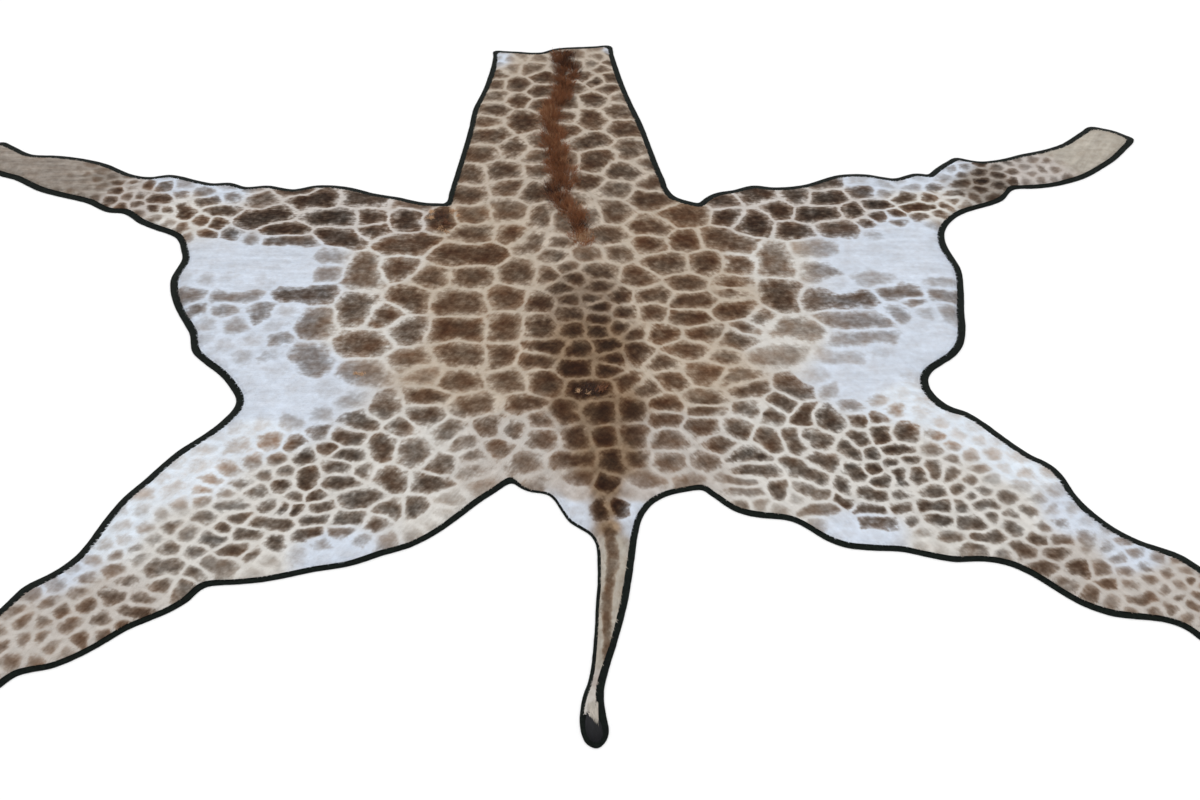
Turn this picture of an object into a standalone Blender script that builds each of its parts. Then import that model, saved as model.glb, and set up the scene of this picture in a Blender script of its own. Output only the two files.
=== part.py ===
"""A giraffe skin laid out flat as a rug: one tanned skin with its coat, mane and tail tuft on a felt
backing that shows as a narrow rim. Metres, +Z up, +Y towards the neck, the floor at z = 0."""

import math

import bmesh
import bpy
from mathutils import Vector, noise

# Sheets
FELT_THICK = 0.0025
HIDE_THICK = 0.005
PIECE_GAP = 0.0003
HIDE_GRID = 0.1
SLAB_MARGIN = 0.013
CUTTER_THICK = 0.05
WELD_DISTANCE = 0.00005
CURVE_STEPS = 2
SHARP_TURN = 50

# Cockles left in the skin by tanning: they grow from the spine towards the edges.
COCKLE_HEIGHT = 0.007
COCKLE_LENGTH = 0.34
COCKLE_FLAT_HALF = 0.30
COCKLE_FULL_HALF = 0.85
SPINE_DRIFT = -0.06
RIPPLE_SHARE = 0.22
RIPPLE_FINER = 2.3

# Mane
MANE_BACKING_WIDTH = 0.024
MANE_BACKING_THICK = 0.003
MANE_ROWS = 3
MANE_LENGTHS = 54
MANE_HEIGHT = 0.033
MANE_SPLAY = 0.022
MANE_SWAY = 0.009
MANE_SWAY_FREQUENCY = 7
MANE_BACKWARD = 0.012
MANE_UNEVEN = 0.45
MANE_UNEVEN_FREQUENCY = 90

# Locks: how thick each is at its root, middle and tip, as shares of the step before, and the share of
# its lean and height that it has at the middle.
ROOT_SHARE = 0.8
MIDDLE_SHARE = 0.72
TIP_SHARE = 0.35
MIDDLE_LEAN = 0.35
MIDDLE_HEIGHT = 0.6

# Tail tuft
TUFT_PLACE = (-0.0195, -1.0348)
TUFT_ROOT_RADIUS = 0.010
TUFT_HEIGHT = 0.010
TUFT_LENGTH = 0.064
TUFT_HALF_WIDTH = 0.0135
TUFT_LEAN = 0.013
TUFT_CLOSE = 0.35
TUFT_LOCKS = 9
TUFT_FAN = 75
TUFT_SIDE_SHARE = 0.82
TUFT_UNEVEN = 0.16
TUFT_UNEVEN_FREQUENCY = 3

# The tuft's layers of locks, from the felt up: how far each rises at its middle, and sinks by its tip.
TUFT_LAYER_RISES = ((0.0, 0.0), (0.0015, 0.0033), (0.003, 0.0066))

# Seeds of the noise that makes each thing uneven.
RIM_SEED = 3.0
COCKLE_SEED = 7.0
RIPPLE_SEED = 11.0
SWAY_SEED = 5.0
LENGTH_SEED = 2.0

# The felt's edge, clockwise seen from above: for each stretch, how far the felt shows past the skin,
# and the points (x, y) of the felt's edge.
NECK_END = (0.013, (
    (-0.370, 1.900), (-0.290, 1.893), (-0.205, 1.887), (-0.158, 1.915), (-0.065, 1.928), (0.035, 1.937),
))
NECK_RIGHT = (0.017, (
    (0.058, 1.785), (0.081, 1.645), (0.108, 1.515), (0.137, 1.390), (0.158, 1.272), (0.177, 1.165),
    (0.199, 1.055), (0.226, 0.962), (0.302, 0.925),
))
RIGHT_FORELEG_TOP = (0.015, (
    (0.353, 0.979), (0.415, 0.998), (0.473, 1.024), (0.531, 1.013), (0.640, 1.030), (0.739, 1.082),
    (0.836, 1.087), (0.917, 1.064), (0.981, 1.093), (1.027, 1.087), (1.078, 1.145), (1.128, 1.188),
    (1.209, 1.164), (1.338, 1.206), (1.471, 1.261), (1.540, 1.322), (1.598, 1.380), (1.666, 1.354),
))
RIGHT_FORELEG_UNDER = (0.018, (
    (1.720, 1.298), (1.638, 1.188), (1.578, 1.130), (1.514, 1.076), (1.455, 1.045), (1.397, 1.024),
    (1.330, 1.013), (1.274, 1.008), (1.234, 0.951), (1.182, 0.917), (1.103, 0.879), (1.048, 0.825),
))
RIGHT_FLANK = (0.021, (
    (1.019, 0.756), (1.018, 0.678), (1.036, 0.582), (1.029, 0.489), (1.010, 0.367), (0.988, 0.241),
    (0.947, 0.175), (0.885, 0.120), (0.864, 0.074), (0.872, 0.010), (0.905, -0.035),
))
RIGHT_HIND_FRONT = (0.016, (
    (0.942, -0.056), (1.010, -0.142), (1.072, -0.221), (1.109, -0.251), (1.137, -0.302), (1.152, -0.366),
    (1.204, -0.463), (1.273, -0.526), (1.346, -0.565), (1.398, -0.628), (1.480, -0.735), (1.600, -0.890),
    (1.730, -1.045),
))
RIGHT_HIND_REAR = (0.016, (
    (1.715, -1.105), (1.625, -1.165), (1.500, -1.020), (1.388, -0.895), (1.323, -0.824), (1.297, -0.790),
    (1.244, -0.768), (1.155, -0.756), (1.079, -0.716), (1.018, -0.655), (0.953, -0.601), (0.886, -0.583),
    (0.819, -0.585), (0.705, -0.552), (0.587, -0.542), (0.530, -0.513), (0.502, -0.486), (0.453, -0.449),
    (0.385, -0.439), (0.326, -0.418), (0.283, -0.376),
))
TAIL_RIGHT = (0.015, (
    (0.249, -0.341), (0.182, -0.355), (0.135, -0.383), (0.110, -0.418), (0.095, -0.460), (0.079, -0.575),
    (0.061, -0.716), (0.033, -0.850), (0.010, -0.950), (0.006, -0.990), (0.012, -1.049),
))
TAIL_LOBE = (
    (0.016, -1.075), (0.012, -1.104), (-0.006, -1.122), (-0.028, -1.109), (-0.039, -1.076),
)
TAIL_LEFT = (0.006, (
    (-0.040, -1.041), (-0.034, -0.990), (-0.023, -0.950), (-0.013, -0.860), (-0.007, -0.725),
    (-0.004, -0.590), (-0.019, -0.503), (-0.071, -0.456), (-0.098, -0.404), (-0.126, -0.359),
    (-0.173, -0.348),
))
LEFT_HIND_REAR = (0.015, (
    (-0.218, -0.316), (-0.294, -0.390), (-0.366, -0.473), (-0.440, -0.535), (-0.508, -0.565),
    (-0.578, -0.598), (-0.660, -0.617), (-0.767, -0.648), (-0.845, -0.658), (-0.903, -0.667),
    (-0.929, -0.707), (-0.973, -0.747), (-1.048, -0.794), (-1.109, -0.852), (-1.189, -0.906),
    (-1.255, -0.925), (-1.290, -0.968), (-1.385, -1.085), (-1.505, -1.235), (-1.590, -1.300),
))
LEFT_HIND_FRONT = (0.017, (
    (-1.690, -1.205), (-1.590, -1.050), (-1.480, -0.905), (-1.385, -0.790), (-1.347, -0.741),
    (-1.311, -0.670), (-1.262, -0.629), (-1.217, -0.572), (-1.188, -0.480), (-1.155, -0.383),
    (-1.118, -0.320), (-1.053, -0.206), (-1.002, -0.146),
))
LEFT_FLANK = (0.021, (
    (-0.951, -0.064), (-0.942, -0.016), (-0.961, 0.034), (-1.016, 0.111), (-1.097, 0.197), (-1.120, 0.276),
    (-1.169, 0.367), (-1.211, 0.466), (-1.223, 0.538), (-1.211, 0.622), (-1.226, 0.683),
))
LEFT_FORELEG_UNDER = (0.022, (
    (-1.254, 0.745), (-1.315, 0.782), (-1.384, 0.825), (-1.437, 0.874), (-1.490, 0.882), (-1.556, 0.928),
    (-1.640, 0.962), (-1.731, 1.001), (-1.819, 1.064), (-1.905, 1.105), (-1.950, 1.175),
))
LEFT_FORELEG_TOP = (0.014, (
    (-1.960, 1.262), (-1.920, 1.283), (-1.871, 1.249), (-1.808, 1.206), (-1.733, 1.200), (-1.623, 1.176),
    (-1.542, 1.140), (-1.474, 1.093), (-1.400, 1.072), (-1.345, 1.086), (-1.278, 1.064), (-1.200, 1.036),
    (-1.146, 1.040), (-1.095, 1.015), (-1.026, 1.024), (-0.945, 1.001), (-0.878, 1.024), (-0.774, 1.013),
    (-0.700, 0.980), (-0.615, 0.956), (-0.532, 0.926),
))
NECK_LEFT = (0.016, (
    (-0.466, 0.926), (-0.455, 1.041), (-0.437, 1.224), (-0.424, 1.380), (-0.418, 1.490), (-0.396, 1.600),
    (-0.382, 1.700), (-0.372, 1.810),
))
STRETCHES = (
    NECK_END, NECK_RIGHT, RIGHT_FORELEG_TOP, RIGHT_FORELEG_UNDER, RIGHT_FLANK, RIGHT_HIND_FRONT,
    RIGHT_HIND_REAR, TAIL_RIGHT, TAIL_LEFT, LEFT_HIND_REAR, LEFT_HIND_FRONT, LEFT_FLANK,
    LEFT_FORELEG_UNDER, LEFT_FORELEG_TOP, NECK_LEFT,
)
RIM_UNEVEN = 0.22
RIM_FREQUENCY = 9
MOST_MITRE = 1.6

# The mane's line down the neck, from the cut to the withers: x, y, share of its full width and height.
MANE_LINE = (
    (-0.135, 1.880, 0.60), (-0.122, 1.800, 1.15), (-0.120, 1.700, 0.80), (-0.140, 1.600, 1.00),
    (-0.160, 1.500, 1.05), (-0.162, 1.400, 0.95), (-0.143, 1.270, 0.95), (-0.140, 1.150, 0.90),
    (-0.130, 1.040, 1.10), (-0.105, 0.950, 1.10), (-0.075, 0.880, 0.95), (-0.060, 0.800, 0.85),
    (-0.048, 0.700, 0.50),
)


def clear_scene():
    for obj in list(bpy.data.objects):
        bpy.data.objects.remove(obj, do_unlink=True)


def material(name, colour, roughness):
    made = bpy.data.materials.new(name)
    made.use_nodes = True
    shader = made.node_tree.nodes["Principled BSDF"]
    shader.inputs["Base Color"].default_value = (*colour, 1)
    shader.inputs["Roughness"].default_value = roughness
    made.diffuse_color = (*colour, 1)
    return made


def add_object(name, data, collection, surface):
    made = bpy.data.objects.new(name, data)
    made.data.materials.append(surface)
    collection.objects.link(made)
    return made


def wave(place, frequency, seed):
    """Smooth noise from -1 to 1 at a place, the same on every run."""
    return noise.noise(Vector((place[0] * frequency, place[1] * frequency, seed)))


def turn_at(points, index):
    """How sharply the outline turns at one of its points, in degrees."""
    here = Vector(points[index])
    back = here - Vector(points[index - 1])
    ahead = Vector(points[(index + 1) % len(points)]) - here
    return math.degrees(back.angle(ahead))


def moved_in(points, distances):
    """The outline, clockwise, moved in at each point by its distance."""
    inner = []
    for index, place in enumerate(points):
        here = Vector(place)
        back = (here - Vector(points[index - 1])).normalized()
        ahead = (Vector(points[(index + 1) % len(points)]) - here).normalized()
        along = (back + ahead).normalized()
        inward = Vector((along.y, -along.x))
        square = max(inward.dot(Vector((ahead.y, -ahead.x))), 1 / MOST_MITRE)
        inner.append(tuple(here + inward * distances[index] / square))
    return inner


def outline_curve(name, points, thick):
    """A filled flat curve through the points, rounded but where the outline turns sharply."""
    curve = bpy.data.curves.new(name, "CURVE")
    curve.dimensions = "2D"
    curve.fill_mode = "BOTH"
    curve.resolution_u = CURVE_STEPS
    curve.extrude = thick / 2
    spline = curve.splines.new("BEZIER")
    spline.bezier_points.add(len(points) - 1)
    spline.use_cyclic_u = True
    for index, (point, place) in enumerate(zip(spline.bezier_points, points)):
        handle = "VECTOR" if turn_at(points, index) > SHARP_TURN else "AUTO"
        point.co = (*place, 0)
        point.handle_left_type = handle
        point.handle_right_type = handle
    return curve


def edge_points():
    """The felt's edge, and the skin's edge inside it."""
    felt = []
    around = []
    rims = []
    for stretch in STRETCHES:
        if stretch is TAIL_LEFT:
            felt.extend(TAIL_LOBE)
        rim, places = stretch
        felt.extend(places)
        for place in places:
            around.append(place)
            rims.append(rim * (1 + RIM_UNEVEN * wave(place, RIM_FREQUENCY, RIM_SEED)))
    return felt, moved_in(around, rims)


def cockle(x, y):
    """How far the skin stands up from the felt at a place."""
    out = (abs(x - SPINE_DRIFT * y) - COCKLE_FLAT_HALF) / (COCKLE_FULL_HALF - COCKLE_FLAT_HALF)
    out = min(max(out, 0), 1)
    grow = out * out * (3 - 2 * out)
    swell = 0.5 + 0.5 * wave((x, y), 1 / COCKLE_LENGTH, COCKLE_SEED)
    ripple = RIPPLE_SHARE * wave((x, y), RIPPLE_FINER / COCKLE_LENGTH, RIPPLE_SEED)
    return COCKLE_HEIGHT * grow * min(max(swell + ripple, 0), 1)


def make_felt(points, collection):
    curve = outline_curve("felt_backing", points, FELT_THICK)
    surface = material("felt", (0.012, 0.02, 0.014), 0.95)
    felt = add_object("felt_backing", curve, collection, surface)
    felt.location.z = FELT_THICK / 2
    weld = felt.modifiers.new("caps", "WELD")
    weld.merge_threshold = WELD_DISTANCE


def slab(low, high, spacing, thick):
    """A closed flat slab whose top and bottom are split into squares."""
    mesh = bmesh.new()
    counts = [math.ceil((high[axis] - low[axis]) / spacing) for axis in (0, 1)]
    bmesh.ops.create_grid(mesh, x_segments=counts[0], y_segments=counts[1], size=0.5)
    for vert in mesh.verts:
        for axis in (0, 1):
            vert.co[axis] = low[axis] + (vert.co[axis] + 0.5) * (high[axis] - low[axis])
    raised = bmesh.ops.extrude_face_region(mesh, geom=mesh.faces[:], use_keep_orig=True)["geom"]
    for item in raised:
        if isinstance(item, bmesh.types.BMVert):
            item.co.z = thick
    bmesh.ops.recalc_face_normals(mesh, faces=mesh.faces)
    data = bpy.data.meshes.new("slab")
    mesh.to_mesh(data)
    mesh.free()
    return data


def make_hide(points, collection, cutters):
    """The outline cuts the skin out of a slab, and every vertex is then lifted by the cockle there."""
    cutter_curve = bpy.data.objects.new("cutter_curve", outline_curve("cutter_curve", points, CUTTER_THICK))
    cutter_mesh = bpy.data.meshes.new_from_object(cutter_curve)
    bpy.data.objects.remove(cutter_curve)
    shell = bmesh.new()
    shell.from_mesh(cutter_mesh)
    bmesh.ops.remove_doubles(shell, verts=shell.verts, dist=WELD_DISTANCE)
    bmesh.ops.recalc_face_normals(shell, faces=shell.faces)
    shell.to_mesh(cutter_mesh)
    shell.free()
    cutter = bpy.data.objects.new("hide_cutter", cutter_mesh)
    cutter.hide_render = True
    cutter.display_type = "WIRE"
    cutters.objects.link(cutter)
    low = [min(place[axis] for place in points) - SLAB_MARGIN for axis in (0, 1)]
    high = [max(place[axis] for place in points) + SLAB_MARGIN for axis in (0, 1)]
    whole = bpy.data.objects.new("whole_slab", slab(low, high, HIDE_GRID, HIDE_THICK))
    collection.objects.link(whole)
    cut = whole.modifiers.new("cut", "BOOLEAN")
    cut.operation = "INTERSECT"
    cut.solver = "EXACT"
    cut.object = cutter
    bpy.context.view_layer.update()
    graph = bpy.context.evaluated_depsgraph_get()
    data = bpy.data.meshes.new_from_object(whole.evaluated_get(graph))
    bpy.data.objects.remove(whole)
    data.name = "hide"
    data.materials.clear()
    for vert in data.vertices:
        vert.co.z += cockle(vert.co.x, vert.co.y)
    hide = add_object("hide", data, collection, material("coat", (0.28, 0.17, 0.1), 0.7))
    hide.location.z = FELT_THICK + PIECE_GAP


def line_at(line, share):
    """The place, direction and size a share of the way along a line of x, y, size points."""
    spans = [math.dist(a[:2], b[:2]) for a, b in zip(line, line[1:])]
    left = share * sum(spans)
    for start, end, span in zip(line, line[1:], spans):
        if left <= span + 1e-9:
            break
        left -= span
    part = min(left / span, 1)
    x, y, size = (a + (b - a) * part for a, b in zip(start, end))
    along = Vector((end[0] - start[0], end[1] - start[1])).normalized()
    return Vector((x, y)), along, size


def draw_out(mesh, face, steps):
    """Draws a lock of hair out of one face: each step is a shift and a share of the face's size."""
    for shift, share in steps:
        face = bmesh.ops.extrude_discrete_faces(mesh, faces=[face])["faces"][0]
        centre = face.calc_center_median()
        for vert in face.verts:
            vert.co = centre + (vert.co - centre) * share + shift


def finish_hair(name, mesh, colour, collection):
    bmesh.ops.recalc_face_normals(mesh, faces=mesh.faces)
    data = bpy.data.meshes.new(name)
    mesh.to_mesh(data)
    mesh.free()
    return add_object(name, data, collection, material(name + "_hair", colour, 0.6))


def make_mane(collection):
    mesh = bmesh.new()
    rows = []
    for step in range(MANE_LENGTHS + 1):
        centre, along, size = line_at(MANE_LINE, step / MANE_LENGTHS)
        aside = Vector((along.y, -along.x))
        row = []
        for column in range(MANE_ROWS + 1):
            place = centre + aside * MANE_BACKING_WIDTH * size * (column / MANE_ROWS - 0.5)
            row.append(mesh.verts.new((*place, 0)))
        rows.append(row)
    bottom = []
    for near, far in zip(rows, rows[1:]):
        for column in range(MANE_ROWS):
            corners = (near[column], near[column + 1], far[column + 1], far[column])
            bottom.append(mesh.faces.new(corners))
    raised = bmesh.ops.extrude_face_region(mesh, geom=bottom, use_keep_orig=True)["geom"]
    for item in raised:
        if isinstance(item, bmesh.types.BMVert):
            item.co.z = MANE_BACKING_THICK
    bmesh.ops.recalc_face_normals(mesh, faces=mesh.faces)
    for root in [item for item in raised if isinstance(item, bmesh.types.BMFace)]:
        middle = root.calc_center_median()
        share = min(max((MANE_LINE[0][1] - middle.y) / (MANE_LINE[0][1] - MANE_LINE[-1][1]), 0), 1)
        centre, along, size = line_at(MANE_LINE, share)
        aside = Vector((along.y, -along.x))
        across = (middle.xy - centre).dot(aside) / (MANE_BACKING_WIDTH / 2)
        sway = MANE_SWAY * wave((0, middle.y), MANE_SWAY_FREQUENCY, SWAY_SEED)
        lean = aside * (across * MANE_SPLAY * size + sway) + along * MANE_BACKWARD
        uneven = 1 + MANE_UNEVEN * wave(middle, MANE_UNEVEN_FREQUENCY, LENGTH_SEED)
        height = MANE_HEIGHT * size * uneven
        draw_out(mesh, root, (
            (Vector((0, 0, 0)), ROOT_SHARE),
            (Vector((*lean * MIDDLE_LEAN, height * MIDDLE_HEIGHT)), MIDDLE_SHARE),
            (Vector((*lean * (1 - MIDDLE_LEAN), height * (1 - MIDDLE_HEIGHT))), TIP_SHARE),
        ))
    mane = finish_hair("mane", mesh, (0.16, 0.05, 0.02), collection)
    mane.location.z = FELT_THICK + HIDE_THICK + 2 * PIECE_GAP


def make_tail_tuft(collection):
    """The root is a fan-shaped block: its flat back meets the tail, and locks grow from its round front."""
    mesh = bmesh.new()
    layers = len(TUFT_LAYER_RISES)
    columns = []
    angles = [math.radians(TUFT_FAN * (2 * step / TUFT_LOCKS - 1)) for step in range(TUFT_LOCKS + 1)]
    for angle in angles:
        place = Vector((math.sin(angle), -math.cos(angle))) * TUFT_ROOT_RADIUS
        column = [(*place, TUFT_HEIGHT * layer / layers) for layer in range(layers + 1)]
        columns.append([mesh.verts.new(corner) for corner in column])
    fronts = []
    for index, (near, far) in enumerate(zip(columns, columns[1:])):
        angle = (angles[index] + angles[index + 1]) / 2
        for layer in range(layers):
            face = mesh.faces.new((near[layer], near[layer + 1], far[layer + 1], far[layer]))
            fronts.append((face, angle, layer))
    for layer in (0, layers):
        mesh.faces.new([column[layer] for column in columns])
    mesh.faces.new(columns[0] + columns[-1][::-1])
    for face, angle, layer in fronts:
        out = Vector((math.sin(angle), -math.cos(angle)))
        uneven = 1 + TUFT_UNEVEN * wave((angle, layer), TUFT_UNEVEN_FREQUENCY, LENGTH_SEED)
        length = TUFT_LENGTH * (TUFT_SIDE_SHARE + (1 - TUFT_SIDE_SHARE) * math.cos(angle)) * uneven
        middle = Vector((TUFT_LEAN / 2 + out.x * TUFT_HALF_WIDTH, -length / 2))
        tip = Vector((TUFT_LEAN / 2 - out.x * TUFT_HALF_WIDTH * TUFT_CLOSE, -length / 2))
        rise, sink = TUFT_LAYER_RISES[layer]
        draw_out(mesh, face, (
            (Vector((0, 0, 0)), ROOT_SHARE),
            (Vector((*middle, rise)), 1.0),
            (Vector((*tip, -sink)), TIP_SHARE),
        ))
    tuft = finish_hair("tail_tuft", mesh, (0.01, 0.008, 0.007), collection)
    tuft.location = (*TUFT_PLACE, FELT_THICK + PIECE_GAP)


def main():
    clear_scene()
    collection = bpy.data.collections.new("giraffe_skin")
    bpy.context.scene.collection.children.link(collection)
    cutters = bpy.data.collections.new("cutters")
    cutters.hide_render = True
    bpy.context.scene.collection.children.link(cutters)
    felt_edge, hide_edge = edge_points()
    make_felt(felt_edge, collection)
    make_hide(hide_edge, collection, cutters)
    make_mane(collection)
    make_tail_tuft(collection)


main()
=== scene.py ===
import math

import bmesh
import bpy
import numpy as np
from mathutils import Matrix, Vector, kdtree, noise
from mathutils.geometry import delaunay_2d_cdt, intersect_line_line_2d


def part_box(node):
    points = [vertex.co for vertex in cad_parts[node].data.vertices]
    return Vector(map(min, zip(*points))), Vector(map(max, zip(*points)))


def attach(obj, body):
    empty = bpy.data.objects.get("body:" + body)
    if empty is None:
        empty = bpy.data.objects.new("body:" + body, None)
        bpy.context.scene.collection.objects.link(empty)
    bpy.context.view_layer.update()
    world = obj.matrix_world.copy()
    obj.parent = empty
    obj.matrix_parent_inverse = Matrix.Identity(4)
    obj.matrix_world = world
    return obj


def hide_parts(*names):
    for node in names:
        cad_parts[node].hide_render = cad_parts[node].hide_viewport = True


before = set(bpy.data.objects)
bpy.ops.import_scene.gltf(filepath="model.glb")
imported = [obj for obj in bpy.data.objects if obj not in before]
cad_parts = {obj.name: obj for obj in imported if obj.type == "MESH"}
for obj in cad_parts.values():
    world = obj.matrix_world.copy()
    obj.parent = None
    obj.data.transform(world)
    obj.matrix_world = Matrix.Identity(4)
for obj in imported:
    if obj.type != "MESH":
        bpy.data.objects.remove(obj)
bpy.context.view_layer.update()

# Floor
# A smooth, nearly white studio floor, as the photograph has behind the skin.
# Only a faint paper grain, so that it isn't quite even.


class Tone:
    """A value or a colour in one finish. Sums on it add the nodes that work it out."""

    def __init__(self, tree, socket=None):
        self.tree = tree
        self.socket = socket

    def node(self, kind, settings, sockets, out=0):
        """A node of any kind, with its settings and what its sockets take, read at one output."""
        made = self.tree.nodes.new(kind)
        for name, value in settings.items():
            setattr(made, name, value)
        for name, value in sockets.items():
            if isinstance(value, Tone):
                self.tree.links.new(value.socket, made.inputs[name])
            else:
                made.inputs[name].default_value = value
        return Tone(self.tree, made.outputs[out])

    def sum_of(self, operation, first, second):
        return self.node("ShaderNodeMath", {"operation": operation}, {0: first, 1: second})

    def __add__(self, other):
        return self.sum_of("ADD", self, other)

    def __sub__(self, other):
        return self.sum_of("SUBTRACT", self, other)

    def __rsub__(self, other):
        return self.sum_of("SUBTRACT", other, self)

    def __mul__(self, other):
        return self.sum_of("MULTIPLY", self, other)

    def __truediv__(self, other):
        return self.sum_of("DIVIDE", self, other)

    __radd__ = __add__
    __rmul__ = __mul__

    def power_of_e(self):
        return self.node("ShaderNodeMath", {"operation": "EXPONENT"}, {0: self})

    def least(self, other):
        return self.sum_of("MINIMUM", self, other)

    def most(self, other):
        return self.sum_of("MAXIMUM", self, other)

    def under(self, other):
        """1 where this is the lower, 0 elsewhere."""
        return self.sum_of("LESS_THAN", self, other)

    def swing(self, share):
        """This noise, from 0 to 1, as a swing to either side of 0, of so much in all."""
        return (self - 0.5) * share

    def rise(self, low, high):
        """0 at low and under it, 1 at high and over it, smooth between."""
        sockets = {"Value": self, "From Min": low, "From Max": high}
        return self.node("ShaderNodeMapRange", {"interpolation_type": "SMOOTHSTEP"}, sockets)

    def between(self, first, second):
        """The first colour where this is 0, the second where it is 1."""
        sockets = {0: self, 6: first, 7: second}
        return self.node("ShaderNodeMix", {"data_type": "RGBA"}, sockets, 2)

    def times(self, share):
        """This colour, made lighter or darker."""
        scaled = {"operation": "SCALE"}
        return self.node("ShaderNodeVectorMath", scaled, {0: self, "Scale": share})

    def grain(self, place, size, detail=2.0, length=None, turn=0.0):
        """Noise from 0 to 1 whose spots are size wide, and length long at the angle turn."""
        scale = (length or size, size, size)
        settings = {"vector_type": "TEXTURE"}
        sockets = {"Vector": place, "Rotation": (0, 0, turn), "Scale": scale}
        laid = self.node("ShaderNodeMapping", settings, sockets)
        return self.node("ShaderNodeTexNoise", {}, {"Vector": laid, "Scale": 1.0, "Detail": detail})

    def kept(self, name, out="Vector"):
        """What the mesh keeps under a name."""
        return self.node("ShaderNodeAttribute", {"attribute_name": name}, {}, out)

    def parts(self):
        split = self.node("ShaderNodeSeparateXYZ", {}, {0: self})
        return [Tone(self.tree, socket) for socket in split.socket.node.outputs]

    def place(self):
        return self.node("ShaderNodeTexCoord", {}, {}, "Object")

    def bump(self, distance):
        """The surface's slope, where this is its height as a share of a distance."""
        return self.node("ShaderNodeBump", {}, {"Height": self, "Distance": distance})

    def feed(self, socket, value):
        """Gives a value to one of the finish's own sockets."""
        shader = self.tree.nodes["Principled BSDF"]
        self.tree.links.new(value.socket, shader.inputs[socket])


FLOOR_SIZE = 60
FLOOR_GAP = 0.0004
LIGHT_ON_FLOOR = 1.05


def paint(red, green, blue):
    """A colour as it shows in the photograph, from 0 to 255, as what the surface reflects."""
    def plain(value):
        value /= 255
        shown = value / 12.92 if value <= 0.04045 else ((value + 0.055) / 1.055) ** 2.4
        return min(shown / LIGHT_ON_FLOOR, 1.0)
    return (plain(red), plain(green), plain(blue), 1)


def new_finish(name, **sockets):
    """A new material with the constants of its shader set, and its tree to work in."""
    finish = bpy.data.materials.new(name)
    finish.use_nodes = True
    shader = finish.node_tree.nodes["Principled BSDF"]
    for socket, value in sockets.items():
        shader.inputs[socket.replace("_", " ")].default_value = value
    return finish, Tone(finish.node_tree)


bpy.ops.mesh.primitive_plane_add(size=FLOOR_SIZE, location=(0, 0, -FLOOR_GAP))
floor = bpy.context.object
floor.name = "floor"
finish, tone = new_finish("floor_paper", Roughness=0.85)
shade = tone.grain(tone.place(), 0.004) * 0.012 + 0.93
white = tone.node("ShaderNodeCombineColor", {}, {0: shade, 1: shade, 2: shade})
tone.feed("Base Color", white)
floor.data.materials.append(finish)

# Felt backing
# One sheet of dark green-black wool felt, 2.5 mm thick, a little larger than the skin all round.
# It is cut with shears after the skin is laid on it, so its edge is upright and a little uneven.

FELT_STEP = 0.009
FELT_SPACING = 0.03
FELT_EDGE_CLEAR = 0.012
FELT_EDGE_ROUND = 0.0007
FELT_LUMP = 0.0003
FELT_WAVER = 0.0006
FELT_SLACK = 0.0004
FELT_FAR_SLACK = 0.006
UNEVEN_LATTICE = 0.16
TURNED_BACK = -0.9
CURVE_STEPS = 6
LOOP_POINTS = 16


def unit(rows):
    """Each row made one long."""
    return rows / np.linalg.norm(rows, axis=1)[:, None]


def wave(places, fine, seed):
    """Smooth noise from -1 to 1 at places. The finer it is, the shorter its waves."""
    return np.array([noise.noise((x, y, seed)) for x, y in places * fine])


def rim_of(node):
    """The line along the upper edge of a flat node, as ordered places (x, y)."""
    shape = bmesh.new()
    shape.from_mesh(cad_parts[node].data)
    bmesh.ops.remove_doubles(shape, verts=shape.verts, dist=0.00001)
    next_to = {}
    for edge in shape.edges:
        slopes = sorted(face.normal.z for face in edge.link_faces)
        if len(slopes) == 2 and slopes[0] < 0.5 < slopes[1]:
            ends = [vert.index for vert in edge.verts]
            next_to.setdefault(ends[0], []).append(ends[1])
            next_to.setdefault(ends[1], []).append(ends[0])
    shape.verts.ensure_lookup_table()
    line = [next(iter(next_to))]
    line.append(next_to[line[0]][0])
    while line[-1] != line[0]:
        ahead = [index for index in next_to[line[-1]] if index != line[-2]]
        line.append(ahead[0])
    places = np.array([shape.verts[index].co[:2] for index in line[:-1]])
    shape.free()
    # A triangle without area on the edge sends the line out and back, so such a turn is left out.
    ahead = unit(np.roll(places, -1, 0) - places)
    turns_back = (ahead * np.roll(ahead, 1, 0)).sum(1) < TURNED_BACK
    return places[~turns_back]


def run_of(line):
    """How far along a closed line each of its points is, and the first again after the last."""
    return np.append(0, np.cumsum(np.linalg.norm(np.roll(line, -1, 0) - line, axis=1)))


def along_at(wanted, run, values):
    """What a closed line's points have, between them at wanted distances along it."""
    closed = np.vstack([values, values[:1]])
    return np.stack([np.interp(wanted, run, closed[:, axis]) for axis in (0, 1)], 1)


def evened(places, step):
    """A closed line drawn smoothly through places, as points a step apart, turning left."""
    before, after = np.roll(places, 1, 0), np.roll(places, -1, 0)
    beyond = np.roll(places, -2, 0)
    drawn = []
    for t in np.linspace(0, 1, CURVE_STEPS, endpoint=False):
        drawn.append(0.5 * (2 * places + (after - before) * t
                            + (2 * before - 5 * places + 4 * after - beyond) * t**2
                            + (3 * places - before - 3 * after + beyond) * t**3))
    drawn = np.stack(drawn, 1).reshape(-1, 2)
    run = run_of(drawn)
    wanted = np.linspace(0, run[-1], int(run[-1] / step), endpoint=False)
    line = along_at(wanted, run, drawn)
    for _ in range(2):
        line = line * 0.6 + (np.roll(line, 1, 0) + np.roll(line, -1, 0)) * 0.2
    turned = np.roll(line, -1, 0)
    area = (line[:, 0] * turned[:, 1] - turned[:, 0] * line[:, 1]).sum()
    return line if area > 0 else line[::-1]


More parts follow.
